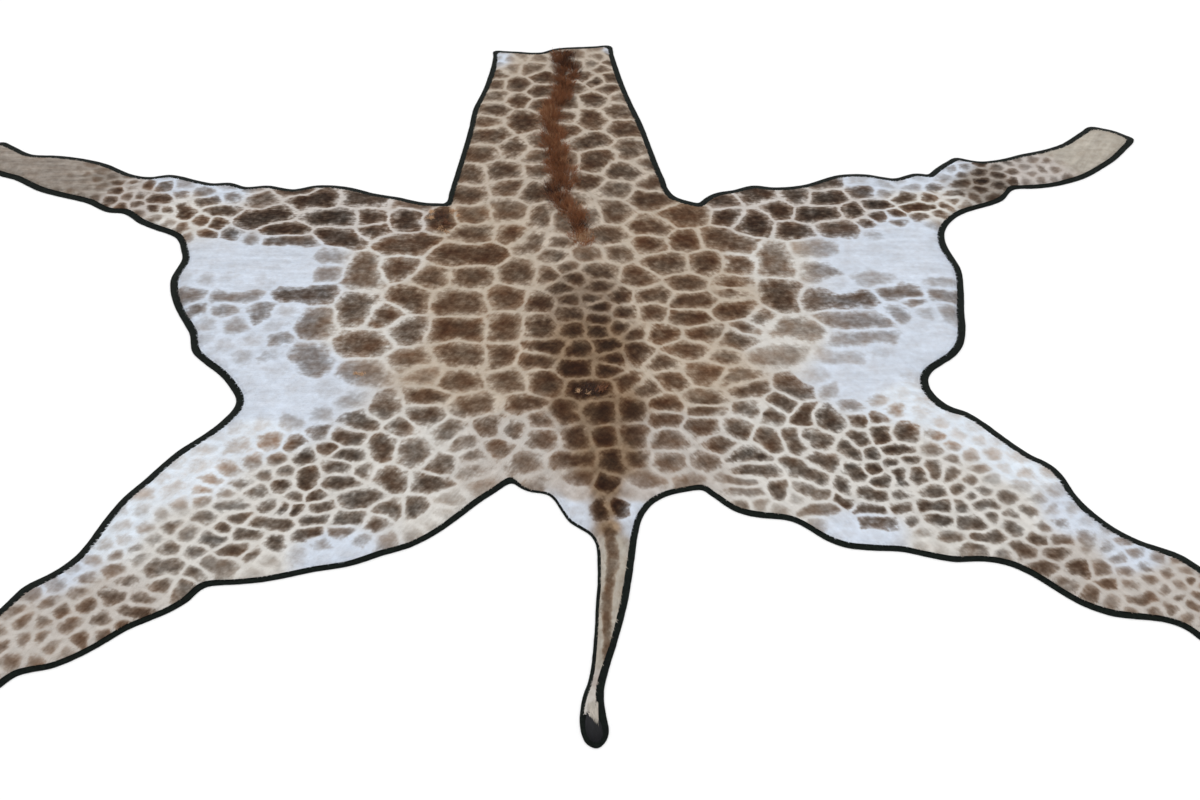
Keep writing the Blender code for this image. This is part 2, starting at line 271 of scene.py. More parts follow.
def moved(line, distance):
    """A closed line that turns left, moved outwards by a distance."""
    ahead = unit(np.roll(line, -1, 0) - np.roll(line, 1, 0))
    return line + np.stack([ahead[:, 1], -ahead[:, 0]], 1) * distance


def untangled(line):
    """A closed line without the small loops where it crosses itself."""
    kept = [tuple(place) for place in line]
    index = 0
    while index < len(kept) - 3:
        for ahead in range(index + 2, min(index + LOOP_POINTS, len(kept) - 1)):
            ends = (kept[index], kept[index + 1], kept[ahead], kept[ahead + 1])
            crossing = intersect_line_line_2d(*ends)
            if crossing:
                kept[index + 1:ahead + 1] = [tuple(crossing)]
                break
        index += 1
    return np.array(kept)


def lattice(line, spacing, uneven, dice):
    """Places inside a closed line, in rows like a honeycomb, each a little out of its row."""
    found = []
    start, end = line, np.roll(line, -1, 0)
    height = spacing * math.sqrt(0.75)
    rows = np.arange(line[:, 1].min() + height / 2, line[:, 1].max(), height)
    for number, y in enumerate(rows):
        crosses = (start[:, 1] > y) != (end[:, 1] > y)
        a, b = start[crosses], end[crosses]
        at = np.sort(a[:, 0] + (y - a[:, 1]) / (b[:, 1] - a[:, 1]) * (b[:, 0] - a[:, 0]))
        for low, high in at.reshape(-1, 2):
            offset = spacing / 2 if number % 2 else 0
            first = math.ceil((low - offset) / spacing) * spacing + offset
            xs = np.arange(first, high, spacing)
            found.append(np.stack([xs, np.full(len(xs), y)], 1))
    found = np.vstack(found)
    return found + dice.uniform(-uneven, uneven, found.shape) * spacing


def distance_from(line, places):
    """How far each place is from the nearest of a line's points."""
    tree = kdtree.KDTree(len(line))
    for index, (x, y) in enumerate(line):
        tree.insert((x, y, 0), index)
    tree.balance()
    return np.array([tree.find((x, y, 0))[2] for x, y in places])


def filled(line, spacing, clear, dice):
    """Triangles over a closed line's inside: the places, the line's own first, and the corners."""
    inner = lattice(line, spacing, UNEVEN_LATTICE, dice)
    inner = inner[distance_from(line, inner) > clear]
    places = np.vstack([line, inner])
    whole = [list(range(len(line)))]
    made = delaunay_2d_cdt([Vector(place) for place in places], [], whole, 1, 1e-7)
    assert len(made[0]) == len(places)
    return places, np.array(made[2])


def new_piece(name, points, faces):
    """A smooth mesh, as an object in the scene."""
    mesh = bpy.data.meshes.new(name)
    mesh.from_pydata(points.tolist(), [], faces.tolist())
    mesh.shade_smooth()
    piece = bpy.data.objects.new(name, mesh)
    bpy.context.scene.collection.objects.link(piece)
    return piece


def sheet_mesh(name, rings, upper, lower, heights):
    """A closed sheet: upper triangles, rings of points down its edge, lower triangles."""
    top_places, top_faces = upper
    low_places, low_faces = lower
    count = len(rings[0][0])
    points = [np.column_stack([top_places, heights[0]])]
    points += [np.column_stack(ring) for ring in rings]
    points.append(np.column_stack([low_places, np.broadcast_to(heights[1], len(low_places))]))
    starts = np.cumsum([0] + [len(part) for part in points])
    here = np.arange(count)
    after = np.roll(here, -1)
    faces = [top_faces]
    for above, below in zip(starts[:-2], starts[1:-1]):
        faces.append(np.stack([above + after, above + here, below + here], 1))
        faces.append(np.stack([above + after, below + here, below + after], 1))
    faces.append(low_faces[:, ::-1] + starts[-2])
    points, faces = np.vstack(points), np.vstack(faces)
    return new_piece(name, points, faces), points, faces


def keep_on(mesh, name, kind, domain, values):
    """Keeps values on a mesh under a name, for its finish to read."""
    kept = mesh.attributes.new(name, kind, domain)
    field = {"FLOAT": "value", "FLOAT_VECTOR": "vector", "FLOAT_COLOR": "color"}[kind]
    kept.data.foreach_set(field, np.ascontiguousarray(values, np.float32).ravel())


dice = np.random.default_rng(5)
felt_low, felt_high = (corner[2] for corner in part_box("felt_backing"))
felt_line = evened(rim_of("felt_backing"), FELT_STEP)
outward = moved(felt_line, 1) - felt_line
slack = wave(felt_line, 60, 3) * FELT_WAVER + FELT_SLACK
slack = slack + FELT_FAR_SLACK * np.clip(outward[:, 1] * 1.3 + 0.3, 0, 1)
felt_line = felt_line + outward * slack[:, None]
shoulder = untangled(moved(felt_line, -FELT_EDGE_ROUND))
felt_line = moved(shoulder, FELT_EDGE_ROUND)
upper = filled(shoulder, FELT_SPACING, FELT_EDGE_CLEAR, dice)
top = felt_high - FELT_LUMP + FELT_LUMP * wave(upper[0], 45, 8)
top[:len(shoulder)] = felt_high - FELT_LUMP
rings = [
    (felt_line, np.full(len(felt_line), felt_high - FELT_EDGE_ROUND)),
    (felt_line, np.full(len(felt_line), felt_low + FELT_EDGE_ROUND)),
]
felt = sheet_mesh("felt", rings, upper, upper, (top, felt_low))[0]
finish, tone = new_finish("wool_felt", Roughness=0.95, Sheen_Weight=0.04, Specular_IOR_Level=0.1)
place = tone.place()
lump = tone.grain(place, 0.009, 3)
fibre = tone.grain(place, 0.0011, 3)
fleck = tone.grain(place, 0.0022, 1)
black, green, pale = paint(5, 7, 6), paint(22, 30, 25), paint(66, 76, 66)
cloth = (lump * 0.55 + fibre * 0.45).rise(0.30, 0.74)
colour = (fleck.rise(0.68, 0.80) * 0.25).between(cloth.between(black, green), pale)
tone.feed("Base Color", colour)
tone.feed("Normal", (lump * 0.5 + fibre).bump(0.0009))
felt.data.materials.append(finish)
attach(felt, "root")
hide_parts("felt_backing")

# Skin
# The tanned skin, about 2.5 mm of leather under a short coat that lies flat, cut from the neck
# to the tail with the legs spread. It has cockled a little in drying and is sewn to the felt.

SKIN_STEP = 0.009
SKIN_EDGE_CLEAR = 0.005
FLESH_SPACING = 0.04
FLESH_EDGE_CLEAR = 0.02
SKIN_THICK = 0.005
SKIN_TOP = 0.0078
SKIN_ROUND = 0.0032
SKIN_RIM = 0.0016
SKIN_ROUND_WIDTH = 0.014
UPPER_BEVEL = 0.0006
LOWER_BEVEL = 0.0004
SEWN_WIDTH = 0.045
SEWN_REST = 0.15
SPINE_DRIFT = 0.06
COCKLE_HEIGHT = 0.007
COCKLE_LENGTH = 0.34
COCKLE_FLAT_HALF = 0.30
COCKLE_GROWTH = 0.55
RIPPLE_SHARE = 0.22
RIPPLE_FINER = 2.3
CREASE_HEIGHT = 0.0011
FINE_CREASE_HEIGHT = 0.0004
SMOOTH_RIM = 0.02


def cockles(places):
    """How far the tanned skin stands up at places: flat by the spine, wavy towards its edges."""
    out = (abs(places[:, 0] + SPINE_DRIFT * places[:, 1]) - COCKLE_FLAT_HALF) / COCKLE_GROWTH
    out = np.clip(out, 0, 1)
    swell = 0.5 + 0.5 * wave(places / COCKLE_LENGTH, 1, 7.0)
    ripple = RIPPLE_SHARE * wave(RIPPLE_FINER * places / COCKLE_LENGTH, 1, 11.0)
    return COCKLE_HEIGHT * out * out * (3 - 2 * out) * np.clip(swell + ripple, 0, 1)


def stands(places):
    """How far the sewn skin stands up at places, its fine creases there, and how far they are
    from its edge. The seam along the edge holds the skin down on the felt."""
    inside = distance_from(skin_line, places)
    free = np.clip(inside / SEWN_WIDTH, 0, 1)
    free = SEWN_REST + (1 - SEWN_REST) * free * free * (3 - 2 * free)
    creases = (CREASE_HEIGHT * wave(places, (11, 17), 4.0)
               + FINE_CREASE_HEIGHT * wave(places, (38, 47), 9.0))
    return cockles(places) * free, creases * np.clip(inside / SMOOTH_RIM, 0, 1), inside


def on_top(places):
    """The height of the skin's upper side at places."""
    lift, fine, inside = stands(places)
    rounded = 1 - np.clip(inside / SKIN_ROUND_WIDTH, 0, 1)
    return SKIN_TOP + lift + fine - SKIN_ROUND * rounded**2


skin_inner = untangled(moved(evened(rim_of("hide"), SKIN_STEP), -SKIN_RIM))
skin_line = moved(skin_inner, SKIN_RIM)
upper = filled(skin_inner, SKIN_STEP, SKIN_EDGE_CLEAR, dice)
lower = filled(skin_inner, FLESH_SPACING, FLESH_EDGE_CLEAR, dice)
top = on_top(upper[0])
under = SKIN_TOP - SKIN_THICK + stands(lower[0])[0]
line_rise = stands(skin_line)[0]
rings = [
    (skin_line, line_rise + SKIN_TOP - SKIN_ROUND - UPPER_BEVEL),
    (skin_line, line_rise + SKIN_TOP - SKIN_THICK + LOWER_BEVEL),
]
skin, points, faces = sheet_mesh("skin", rings, upper, lower, (top, under))

# Coat
# The short coat's brown patches between pale lines, as the animal grew them: small and nearly
# black along the spine, broad on the trunk, dark on the legs' roots, fading to white on the belly.

# The patches in millimetres and hundredths. Three values are a round patch: x, y, how dark. Five
# are a long one: from x, y to x, y, how dark. Six are two round ones: at x, y and at x, y, how dark
# each is. Seven are a string of round ones: from x, y to x, y, how many, how dark the first and the
# last are.
PATCH_STRINGS = (
    # neck, left of the mane
    (-355, 1725, -350, 1578, 3, 56, 56), (-350, 1488, -375, 1398, 69, 62),
    (-385, 1320, -340, 1322, 67), (-374, 1218, 67), (-398, 1086, -404, 972, 62, 67),
    (-272, 1862, -308, 1775, 28, 31), (-212, 1842, -230, 1770, 36, 47),
    (-284, 1650, -272, 1548, 69, 72), (-188, 1710, -206, 1602, 74, 74), (-194, 1518, 69),
    (-254, 1430, -254, 1395, 76), (-272, 1250, -272, 1236, 74), (-192, 1280, -194, 1104, 3, 65, 65),
    (-315, 1098, -285, 1098, 69), (-276, 1006, 62), (-202, 992, -202, 975, 69),
    # neck, right of the mane
    (-78, 1800, -86, 1644, 56, 69), (-104, 1530, -112, 1350, 3, 67, 73),
    (-32, 1806, 10, 1764, 50, 54), (-56, 1704, -18, 1676, 87, 87), (34, 1704, 28, 1626, 67, 69),
    (-26, 1554, 76), (-32, 1440, -32, 1405, 78), (-45, 1278, -20, 1285, 76), (88, 1566, 50),
    (64, 1476, 78, 1356, 65, 69), (88, 1250, 100, 1215, 67), (-8, 1185, -18, 1150, 76),
    (60, 1100, 90, 1095, 69), (-44, 1044, 45, 1000, 67, 58), (168, 1030, 58),
    (135, 946, 170, 944, 65),
    # shoulders, across the withers
    (-402, 860, -375, 850, 55), (-272, 895, -272, 862, 59), (-170, 860, -170, 825, 61),
    (-112, 840, -112, 790, 53), (-476, 850, -470, 815, 83), (-395, 762, -362, 765, 64),
    (-260, 754, 66), (-196, 725, -203, 700, 59), (-124, 720, -130, 635, 59, 59),
    (-100, 586, -68, 530, 61, 66), (-445, 650, -330, 650, 74), (-236, 565, -222, 545, 68),
    (-148, 545, -108, 486, 68, 72), (40, 880, 45, 850, 61), (120, 795, 165, 790, 70),
    (235, 850, 285, 860, 70), (20, 750, 48, 746, 66), (50, 650, 61), (-36, 650, 48),
    (-20, 566, 10, 558, 66), (144, 698, 248, 722, 72, 74), (345, 740, 420, 700, 70),
    (170, 602, 205, 604, 72), (300, 602, 400, 602, 74, 70), (500, 650, 510, 575, 55),
    (100, 545, 112, 530, 68),
    # trunk, left
    (-492, 538, -364, 538, 62, 66), (-260, 434, -164, 410, 64, 74), (-412, 410, -372, 410, 64),
    (-540, 440, -530, 418, 74), (-526, 300, -530, 275, 72), (-426, 284, -350, 284, 66),
    (-260, 310, -260, 275, 64), (-160, 310, -160, 275, 76), (-504, 156, 54),
    (-392, 185, -345, 172, 68), (-260, 195, -266, 155, 70), (-165, 215, -125, 215, 74),
    (-185, 152, -155, 150, 68), (-460, 84, 37), (-395, 58, -350, 60, 56), (-245, 90, -228, 62, 58),
    (-152, 75, -140, 45, 66), (-465, 4, -432, 4, 64), (-465, -76, -430, -76, 68),
    (-350, -40, -312, -22, 58), (-205, -30, -175, -25, 66), (-280, -116, -220, -130, 64, 64),
    # spine
    (-80, 430, -22, 436, 62, 62), (52, 442, 64, 366, 70, 77), (-4, 490, 62),
    (-80, 362, -4, 388, 70, 75), (-4, 340, -4, 288, 75, 79), (-70, 288, -62, 206, 79, 81),
    (60, 304, 94, 274, 77, 70), (18, 220, 40, 164, 86, 88), (-75, 120, -50, 120, 85), (16, 112, 85),
    (105, 205, 98, 178, 77), (-55, 40, -5, 30, 86), (68, 62, 122, 28, 70, 71),
    (-92, -50, -92, -65, 67), (-152, -92, -144, -164, 58, 57), (0, -50, 2, -70, 71),
    (85, -36, 84, -70, 71), (-62, -142, -55, -168, 64), (10, -150, 10, -158, 71),
    (88, -132, 90, -162, 62), (-80, -240, -40, -240, 58), (28, -230, 36, -272, 76),
    (88, -238, 170, -253, 57, 53), (-188, -244, -252, -196, 46, 53),
    (-320, -228, -320, -284, 46, 34), (268, -245, 57), (183, -164, 165, -170, 55),
    (-50, -309, -40, -309, 48), (6, -322, 28, -332, 80), (105, -322, 125, -325, 36),
    (-4, -398, 4, -434, 84), (42, -398, 50, -424, 90), (-64, -420, 4), (104, -420, 4),
    # trunk, right
    (248, 506, 376, 498, 66, 68), (372, 470, 60), (505, 475, 515, 410, 80),
    (135, 442, 170, 442, 72), (235, 422, 280, 422, 68), (148, 386, 148, 368, 66),
    (225, 346, 275, 346, 72), (350, 374, 395, 374, 72), (442, 340, 395, 300, 66, 60),
    (150, 270, 175, 268, 74), (215, 205, 245, 208, 68), (265, 270, 310, 275, 64),
    (350, 255, 380, 235, 62), (500, 300, 585, 290, 42), (440, 165, 510, 180, 34), (170, 146, 70),
    (340, 163, 55), (275, 108, 305, 106, 56), (340, 87, 395, 87, 52), (183, 66, 68),
    (245, -12, 295, -10, 58), (250, -46, 290, -45, 56), (160, -30, 195, -34, 66),
    (155, -86, 185, -90, 62), (235, -112, 275, -114, 60), (306, -181, 64),
    # left foreleg, its root and band
    (-960, 992, -920, 990, 66), (-905, 930, -840, 938, 92), (-740, 945, -670, 935, 86),
    (-590, 915, -545, 912, 54), (-1030, 943, -1130, 950, 62, 45), (-1215, 972, 45),
    (-1210, 925, -1180, 925, 77), (-1262, 905, -1255, 850, 90), (-1165, 868, -1125, 865, 81),
    (-1050, 820, -965, 845, 94), (-845, 828, -775, 838, 92), (-690, 843, -670, 768, 92, 90),
    (-575, 860, -575, 815, 90), (-965, 760, -900, 766, 88), (-1150, 800, -1197, 815, 77, 71),
    (-1245, 785, 54), (-1165, 745, -1090, 745, 64, 68), (-810, 742, -735, 715, 86),
    (-960, 708, -860, 705, 60), (-1020, 713, 32), (-610, 690, -520, 700, 77),
    (-672, 605, -678, 520, 54), (-810, 640, -770, 630, 28), (-590, 590, -565, 575, 73),
    (-787, 548, 32), (-1494, 1030, -1340, 1014, 4, 48, 59), (-1483, 985, -1483, 937, 79, 79),
    (-1355, 945, -1315, 942, 77), (-1400, 960, -1400, 915, 54, 58),
    (-1351, 888, -1300, 880, 77, 68), (-1280, 962, 49), (-1432, 960, -1440, 1010, 43, 47),
    # left flank
    (-1165, 692, -1050, 668, 2), (-1040, 655, -860, 650, 2), (-1100, 600, -860, 595, 2),
    (-885, 445, -780, 455, 72), (-1060, 432, -985, 436, 36), (-1175, 445, -1140, 440, 40),
    (-1120, 386, -1045, 377, 52, 38), (-940, 385, -940, 350, 46), (-995, 305, 24),
    (-795, 340, -790, 290, 50), (-680, 410, -680, 365, 68), (-877, 247, 40),
    (-785, 180, -760, 120, 40), (-665, 218, -615, 232, 70), (-655, 94, -615, 94, 36),
    (-589, 350, 74), (-945, 172, -895, 172, 16, 18), (-1085, 305, -1080, 250, 14, 12),
    (-1060, 540, -960, 520, 6, 6), (-553, -40, -553, -55, 60),
    # right foreleg, its root and band
    (372, 930, 384, 850, 81, 90), (465, 975, 485, 965, 96), (455, 820, 465, 785, 96),
    (530, 890, 545, 870, 90), (596, 962, 81), (630, 854, 668, 856, 92), (560, 768, 590, 760, 81),
    (680, 1040, 722, 1045, 75), (685, 940, 715, 952, 83), (800, 985, 798, 975, 66), (765, 876, 92),
    (830, 900, 862, 908, 92), (690, 785, 730, 775, 66), (800, 808, 832, 842, 73, 77),
    (890, 853, 964, 845, 71, 66), (905, 938, 938, 946, 79), (1003, 938, 1074, 932, 81, 73),
    (935, 887, 1000, 890, 81), (1041, 899, 1019, 866, 71, 64), (890, 802, 47), (820, 750, 24),
    (1030, 998, 62), (1070, 963, 1100, 966, 71), (1173, 990, 1228, 1020, 79, 81),
    (1100, 1028, 1125, 1033, 68), (1184, 1088, 1239, 1072, 73, 66),
    (1146, 1120, 1096, 1112, 41, 32), (876, 965, 958, 1005, 30, 24),
    # right flank
    (855, 764, 940, 760, 2), (900, 562, 1000, 566, 2), (720, 665, 960, 665, 2),
    (610, 680, 680, 670, 26), (620, 560, 665, 560, 36), (755, 532, 800, 530, 20),
    (605, 420, 745, 430, 66), (815, 457, 890, 452, 46), (940, 452, 990, 448, 38), (880, 408, 40),
    (635, 325, 775, 322, 40), (830, 362, 832, 350, 36), (905, 362, 970, 355, 16, 24),
    (655, 240, 790, 255, 28), (620, 160, 680, 165, 16), (955, 512, 990, 512, 22), (755, 190, 8),
    # left haunch and hind leg
    (-630, -85, -600, -108, 68), (-504, -108, 64), (-655, -155, -625, -165, 66),
    (-703, -142, -677, -196, 62, 62), (-640, -228, -615, -235, 73), (-552, -185, -540, -210, 68),
    (-736, -240, -736, -225, 77), (-765, -192, 66), (-660, -272, -632, -282, 70), (-583, -290, 58),
    (-468, -200, -455, -232, 60), (-380, -120, -385, -150, 53), (-358, -172, -335, -170, 47),
    (-520, -305, -508, -325, 71), (-396, -250, -400, -278, 66), (-425, -324, -395, -324, 68),
    (-648, -325, -610, -328, 73), (-712, -295, -716, -335, 77), (-772, -336, -835, -358, 73, 60),
    (-876, -331, -820, -285, 47, 49), (-691, -372, 75), (-600, -380, -550, -378, 70),
    (-673, -408, 70), (-515, -412, -492, -412, 66), (-444, -405, -444, -420, 64),
    (-732, -421, -795, -413, 3, 79, 71), (-700, -458, -665, -456, 73), (-620, -458, -582, -456, 70),
    (-538, -475, 58), (-815, -468, -740, -473, 66), (-870, -448, -845, -448, 60),
    (-905, -412, -858, -412, 51), (-940, -453, -894, -484, 49, 62), (-845, -502, -815, -502, 66),
    (-758, -522, -758, -536, 75), (-705, -507, -665, -506, 70), (-622, -502, -595, -500, 51),
    (-925, -522, -898, -528, 60), (-865, -560, -838, -560, 62), (-808, -574, 57),
    (-1002, -552, -943, -565, 54, 57), (-1025, -613, -985, -615, 59), (-930, -633, 57),
    (-1000, -672, 55), (-1078, -664, 55), (-1112, -702, -1085, -700, 69),
    (-1040, -708, -1018, -707, 55), (-1060, -745, -1020, -743, 69),
    (-1106, -773, -1156, -724, 64, 59), (-1118, -619, -1123, -575, 46, 38),
    (-1079, -559, -1068, -586, 38, 40), (-1015, -484, -975, -505, 44, 40),
    (-905, -606, -855, -606, 39), (-650, -534, -565, -520, 30, 30), (-830, -174, 39),
    (-912, -277, -858, -250, 35, 38), (-907, -196, -790, -97, 19, 21),
    (-948, -318, -961, -358, 35, 33), (-957, -394, -907, -372, 35, 33),
    (-1006, -412, -1040, -440, 22, 18), (-1096, -430, -1078, -484, 16, 22),
    (-1130, -470, -1156, -542, 15, 20), (-718, -66, -650, -16, 19, 21),
    (-1178, -685, -1173, -652, 40, 36), (-1238, -724, -1238, -668, 38, 29),
    (-1238, -784, -1178, -784, 46, 46), (-1272, -834, -1200, -850, 42, 44),
    (-1310, -751, -1288, -702, 38, 31), (-360, -385, -290, -345, 23, 23),
    # right haunch and hind leg
    (348, -112, 350, -130, 68), (380, 25, 415, 40, 68), (490, 50, 525, 20, 64),
    (468, -6, 486, -34, 73), (372, -52, 395, -56, 64), (420, -68, 446, -76, 62),
    (526, -52, 520, -82, 70), (575, -80, 595, -108, 79), (420, -150, 438, -192, 62),
    (493, -150, 493, -195, 62), (525, -152, 560, -176, 73), (660, -95, 660, -100, 71),
    (645, -152, 656, -178, 75), (612, -188, 630, -215, 79), (345, -232, 400, -234, 81),
    (350, -283, 415, -283, 71), (470, -250, 540, -320, 64), (535, -240, 570, -255, 68),
    (612, -272, 636, -305, 75), (679, -222, 674, -276, 75, 77), (730, -208, 762, -208, 81),
    (724, -258, 768, -244, 79, 73), (714, -165, 716, -125, 75), (773, -150, 773, -130, 71),
    (715, -92, 66), (737, -325, 737, -288, 77), (777, -312, 777, -294, 75),
    (818, -298, 820, -272, 57), (850, -310, 866, -288, 54), (680, -325, 710, -316, 79),
    (586, -330, 592, -345, 75), (635, -352, 680, -376, 75), (732, -370, 809, -357, 73, 64),
    (866, -348, 908, -316, 60, 47), (930, -357, 900, -380, 46, 51), (425, -340, 430, -362, 64),
    (570, -380, 590, -396, 73), (625, -419, 680, -420, 73), (705, -415, 740, -415, 70),
    (780, -413, 820, -414, 73), (863, -415, 55), (915, -410, 945, -411, 57),
    (984, -384, 1020, -428, 54, 54), (635, -460, 690, -460, 68), (737, -460, 62),
    (795, -448, 815, -456, 70), (862, -460, 900, -468, 64), (935, -447, 988, -442, 54, 53),
    (976, -470, 976, -486, 59), (1043, -478, 1084, -464, 42, 38), (885, -516, 930, -520, 64),
    (815, -510, 842, -518, 51), (855, -540, 890, -542, 53), (975, -550, 995, -567, 57),
    (1020, -516, 1032, -522, 62), (1075, -522, 1095, -524, 51), (1050, -566, 1072, -560, 62),
    (1010, -610, 1030, -608, 59), (1096, -612, 1096, -622, 72), (940, -572, 44),
    (1141, -510, 1141, -540, 31), (1118, -696, 54), (1152, -618, 1212, -624, 44, 35),
    (1205, -712, 1232, -710, 51), (1240, -750, 1284, -739, 46, 49),
    (1284, -684, 1334, -739, 42, 49), (1262, -618, 1300, -574, 39, 28),
    (656, -46, 760, -55, 39, 38), (602, 26, 715, -10, 23, 24), (850, -154, 827, -208, 43, 41),
    (881, -195, 926, -230, 32, 26), (876, -244, 940, -276, 42, 33), (962, -316, 976, -226, 22, 16),
    (1043, -289, 1056, -384, 16, 28), (1100, -352, 1130, -420, 16, 16), (500, -345, 540, -365, 49),
    (500, -415, 560, -412, 45), (320, -317, 360, -318, 41), (330, -352, 372, -352, 38),
    (760, -496, 24),
    # tail
    (26, -492, 14, -890, 54), (-10, -500, -14, -890, 4), (74, -520, 40, -890, 6),
    (0, -960, -16, -1040, 6),
)

# The colours of the coat's ground between the patches, as the photograph shows them.
GROUND_TONES = {
    "beige": (187, 174, 158), "spine": (134, 113, 91), "cream": (209, 206, 201),
    "white": (206, 214, 226), "grey": (200, 194, 189), "tan": (176, 169, 158),
    "ash": (147, 138, 129), "rose": (188, 176, 162), "side": (187, 180, 175),
    "snow": (218, 226, 235), "dusk": (190, 184, 178), "dun": (141, 124, 107),
    "umber": (104, 84, 66),
}

# What the coat is like in each part: a place, how far it reaches, the lines' tone, how warm the
# patches are, how far apart patches are that no string gives, in centimetres, how dark these are.
COAT_PARTS = (
    (-.365, 1.84, .04, "white", .20, 4, .10), (.035, 1.890, .025, "white", .20, 4, .20),
    (.00, 1.85, .05, "rose", .20, 5, .40), (-.20, 1.83, .08, "rose", .22, 6, .30),
    (-.30, 1.60, .12, "rose", .30, 8, .50), (.03, 1.60, .12, "rose", .30, 8, .50),
    (-.30, 1.30, .14, "rose", .38, 9, .50), (.05, 1.30, .14, "rose", .38, 9, .50),
    (-.35, 1.02, .12, "rose", .30, 9, .45), (.10, 1.00, .12, "rose", .22, 9, .45),
    (-.35, .80, .12, "beige", .45, 10, .50), (.20, .80, .12, "beige", .52, 10, .55),
    (-.08, .75, .10, "rose", .30, 8, .50), (-.40, .50, .16, "beige", .45, 12, .55),
    (.25, .50, .16, "beige", .45, 11, .55), (-.35, .15, .14, "beige", .52, 10, .55),
    (.25, .15, .14, "beige", .52, 9, .55), (-.03, .45, .08, "dun", .30, 7, .60),
    (-.02, .22, .10, "spine", .38, 7, .75), (.00, .00, .09, "spine", .52, 7, .70),
    (-.025, .030, .030, "umber", .45, 5, .95), (.02, -.22, .08, "spine", .45, 7, .70),
    (-.22, -.22, .10, "dusk", .45, 8, .50), (.22, -.20, .10, "dusk", .45, 8, .50),
    (-.62, .30, .12, "cream", .38, 11, .50), (.48, .25, .10, "cream", .38, 11, .40),
    (-.60, .60, .10, "cream", .45, 11, .50), (.48, .62, .10, "cream", .38, 11, .50),
    (-.95, .58, .16, "white", .30, 6.5, .02), (-.95, .30, .12, "white", .30, 6.5, .12),
    (-.78, .12, .08, "white", .30, 12, .20), (-.85, .00, .14, "white", .30, 6.5, .02),
    (.82, .62, .14, "white", .30, 6.5, .02), (.85, .42, .10, "white", .30, 6.5, .14),
    (.82, .22, .12, "white", .30, 6.5, .02), (.72, .10, .12, "white", .40, 6.5, .02),
    (.92, .76, .08, "white", .30, 6.5, .02), (-1.10, .45, .06, "white", .20, 6.5, .20),
    (-.90, .86, .14, "grey", .15, 9, .60), (-.60, .84, .10, "grey", .38, 9, .60),
    (-1.22, .86, .08, "cream", .45, 5, .50), (-1.15, .99, .06, "white", .20, 7, .25),
    (-1.32, 1.04, .06, "white", .20, 5, .20), (-1.42, .96, .08, "side", .38, 5, .55),
    (-1.58, 1.04, .08, "ash", .38, 4, .22), (-1.80, 1.14, .16, "ash", .38, 4, .02),
    (.45, .88, .10, "grey", .30, 9, .60), (.70, .90, .10, "grey", .15, 9, .60),
    (.98, .90, .08, "cream", .45, 5, .50), (.82, 1.03, .06, "white", .20, 6, .12),
    (.97, 1.04, .06, "white", .20, 5, .12), (1.09, 1.13, .05, "white", .20, 5, .16),
    (1.20, 1.03, .07, "ash", .30, 4, .78), (1.36, 1.10, .10, "side", .08, 4, .42),
    (1.56, 1.22, .14, "tan", .20, 4, .02), (-.50, -.20, .12, "cream", .20, 8, .55),
    (-.72, -.35, .12, "cream", .16, 5, .60), (-.95, -.52, .10, "cream", .06, 5, .46),
    (-.86, -.14, .08, "snow", 1.08, 6, .10), (-1.02, -.30, .08, "snow", 1.08, 6, .10),
    (-1.14, -.48, .06, "snow", .60, 5, .14), (-1.24, -.62, .05, "white", .50, 4, .16),
    (-.62, -.57, .06, "white", .40, 5, .02), (-.38, -.43, .05, "cream", .16, 5, .12),
    (-.80, -.62, .05, "cream", .16, 5, .20), (-1.12, -.76, .08, "dusk", .45, 4.5, .50),
    (-1.30, -.88, .10, "dusk", .52, 4, .42), (-1.50, -1.10, .14, "tan", .38, 4, .12),
    (.45, -.15, .12, "cream", .20, 7, .60), (.70, -.25, .12, "cream", .12, 5, .65),
    (.92, -.40, .10, "cream", .06, 5, .50), (.78, .00, .08, "snow", 1.08, 6, .10),
    (.92, -.12, .07, "snow", 1.08, 5, .08), (1.03, -.27, .06, "snow", 1.08, 5, .12),
    (1.14, -.42, .06, "white", .50, 4.5, .14), (.62, -.51, .06, "white", .40, 5, .02),
    (.80, -.55, .05, "cream", .16, 5, .15), (.42, -.40, .05, "cream", .16, 4, .25),
    (1.08, -.62, .07, "dusk", .38, 4.5, .55), (1.24, -.58, .05, "white", .40, 3.5, .34),
    (1.28, -.70, .09, "dusk", .45, 3.5, .45), (1.52, -.95, .15, "tan", .38, 4, .12),
    (-.09, -.43, .05, "white", .30, 5, .02), (.09, -.43, .05, "white", .30, 5, .02),
    (-.06, -.36, .03, "side", .30, 5, .10), (.09, -.36, .04, "side", .30, 5, .10),
    (-.01, -1.00, .03, "cream", .16, 4, .06), (.018, -.345, .036, "spine", .50, 5, .50),
    (.024, -.415, .036, "spine", .50, 5, .50), (.025, -.475, .026, "spine", .50, 5, .50),
    # the tail's brown middle and its pale left side
    *((x, y, .022, "tan", .60, 4, .10) for x, y in (
        (.031, -.53), (.029, -.60), (.026, -.67), (.022, -.74), (.017, -.81))),
    (.010, -.88, .020, "tan", .60, 4, .10),
    *((x, y, .012, "side", .30, 4, .05) for x, y in (
        (-.016, -.53), (-.016, -.60), (-.018, -.67), (-.021, -.74), (-.025, -.81), (-.029, -.88))),
    (-.006, -.94, .016, "side", .30, 4, .05),
)

# The noise that makes the patches' sides wavy: how far it shifts them, how fine it is, its seed.
WARP = ((0.010, 9.0, 1.0), (0.006, 26.0, 2.0), (0.0025, 60.0, 3.0))
PATCH_ROUNDING = 0.010
PATCH_REACH = 0.3
PART_BLEND, PART_POWER = 0.05, 3
# Many places are worked out in batches, to spare memory.
PLACES_AT_ONCE = 3000
GROUND_BATCHES = 40
FILLER_TRIES = 0.012
FILLER_UNEVEN = 0.45
FILLER_CLOSENESS = 0.92
FILLER_DEPTHS = (0.6, 1.25)


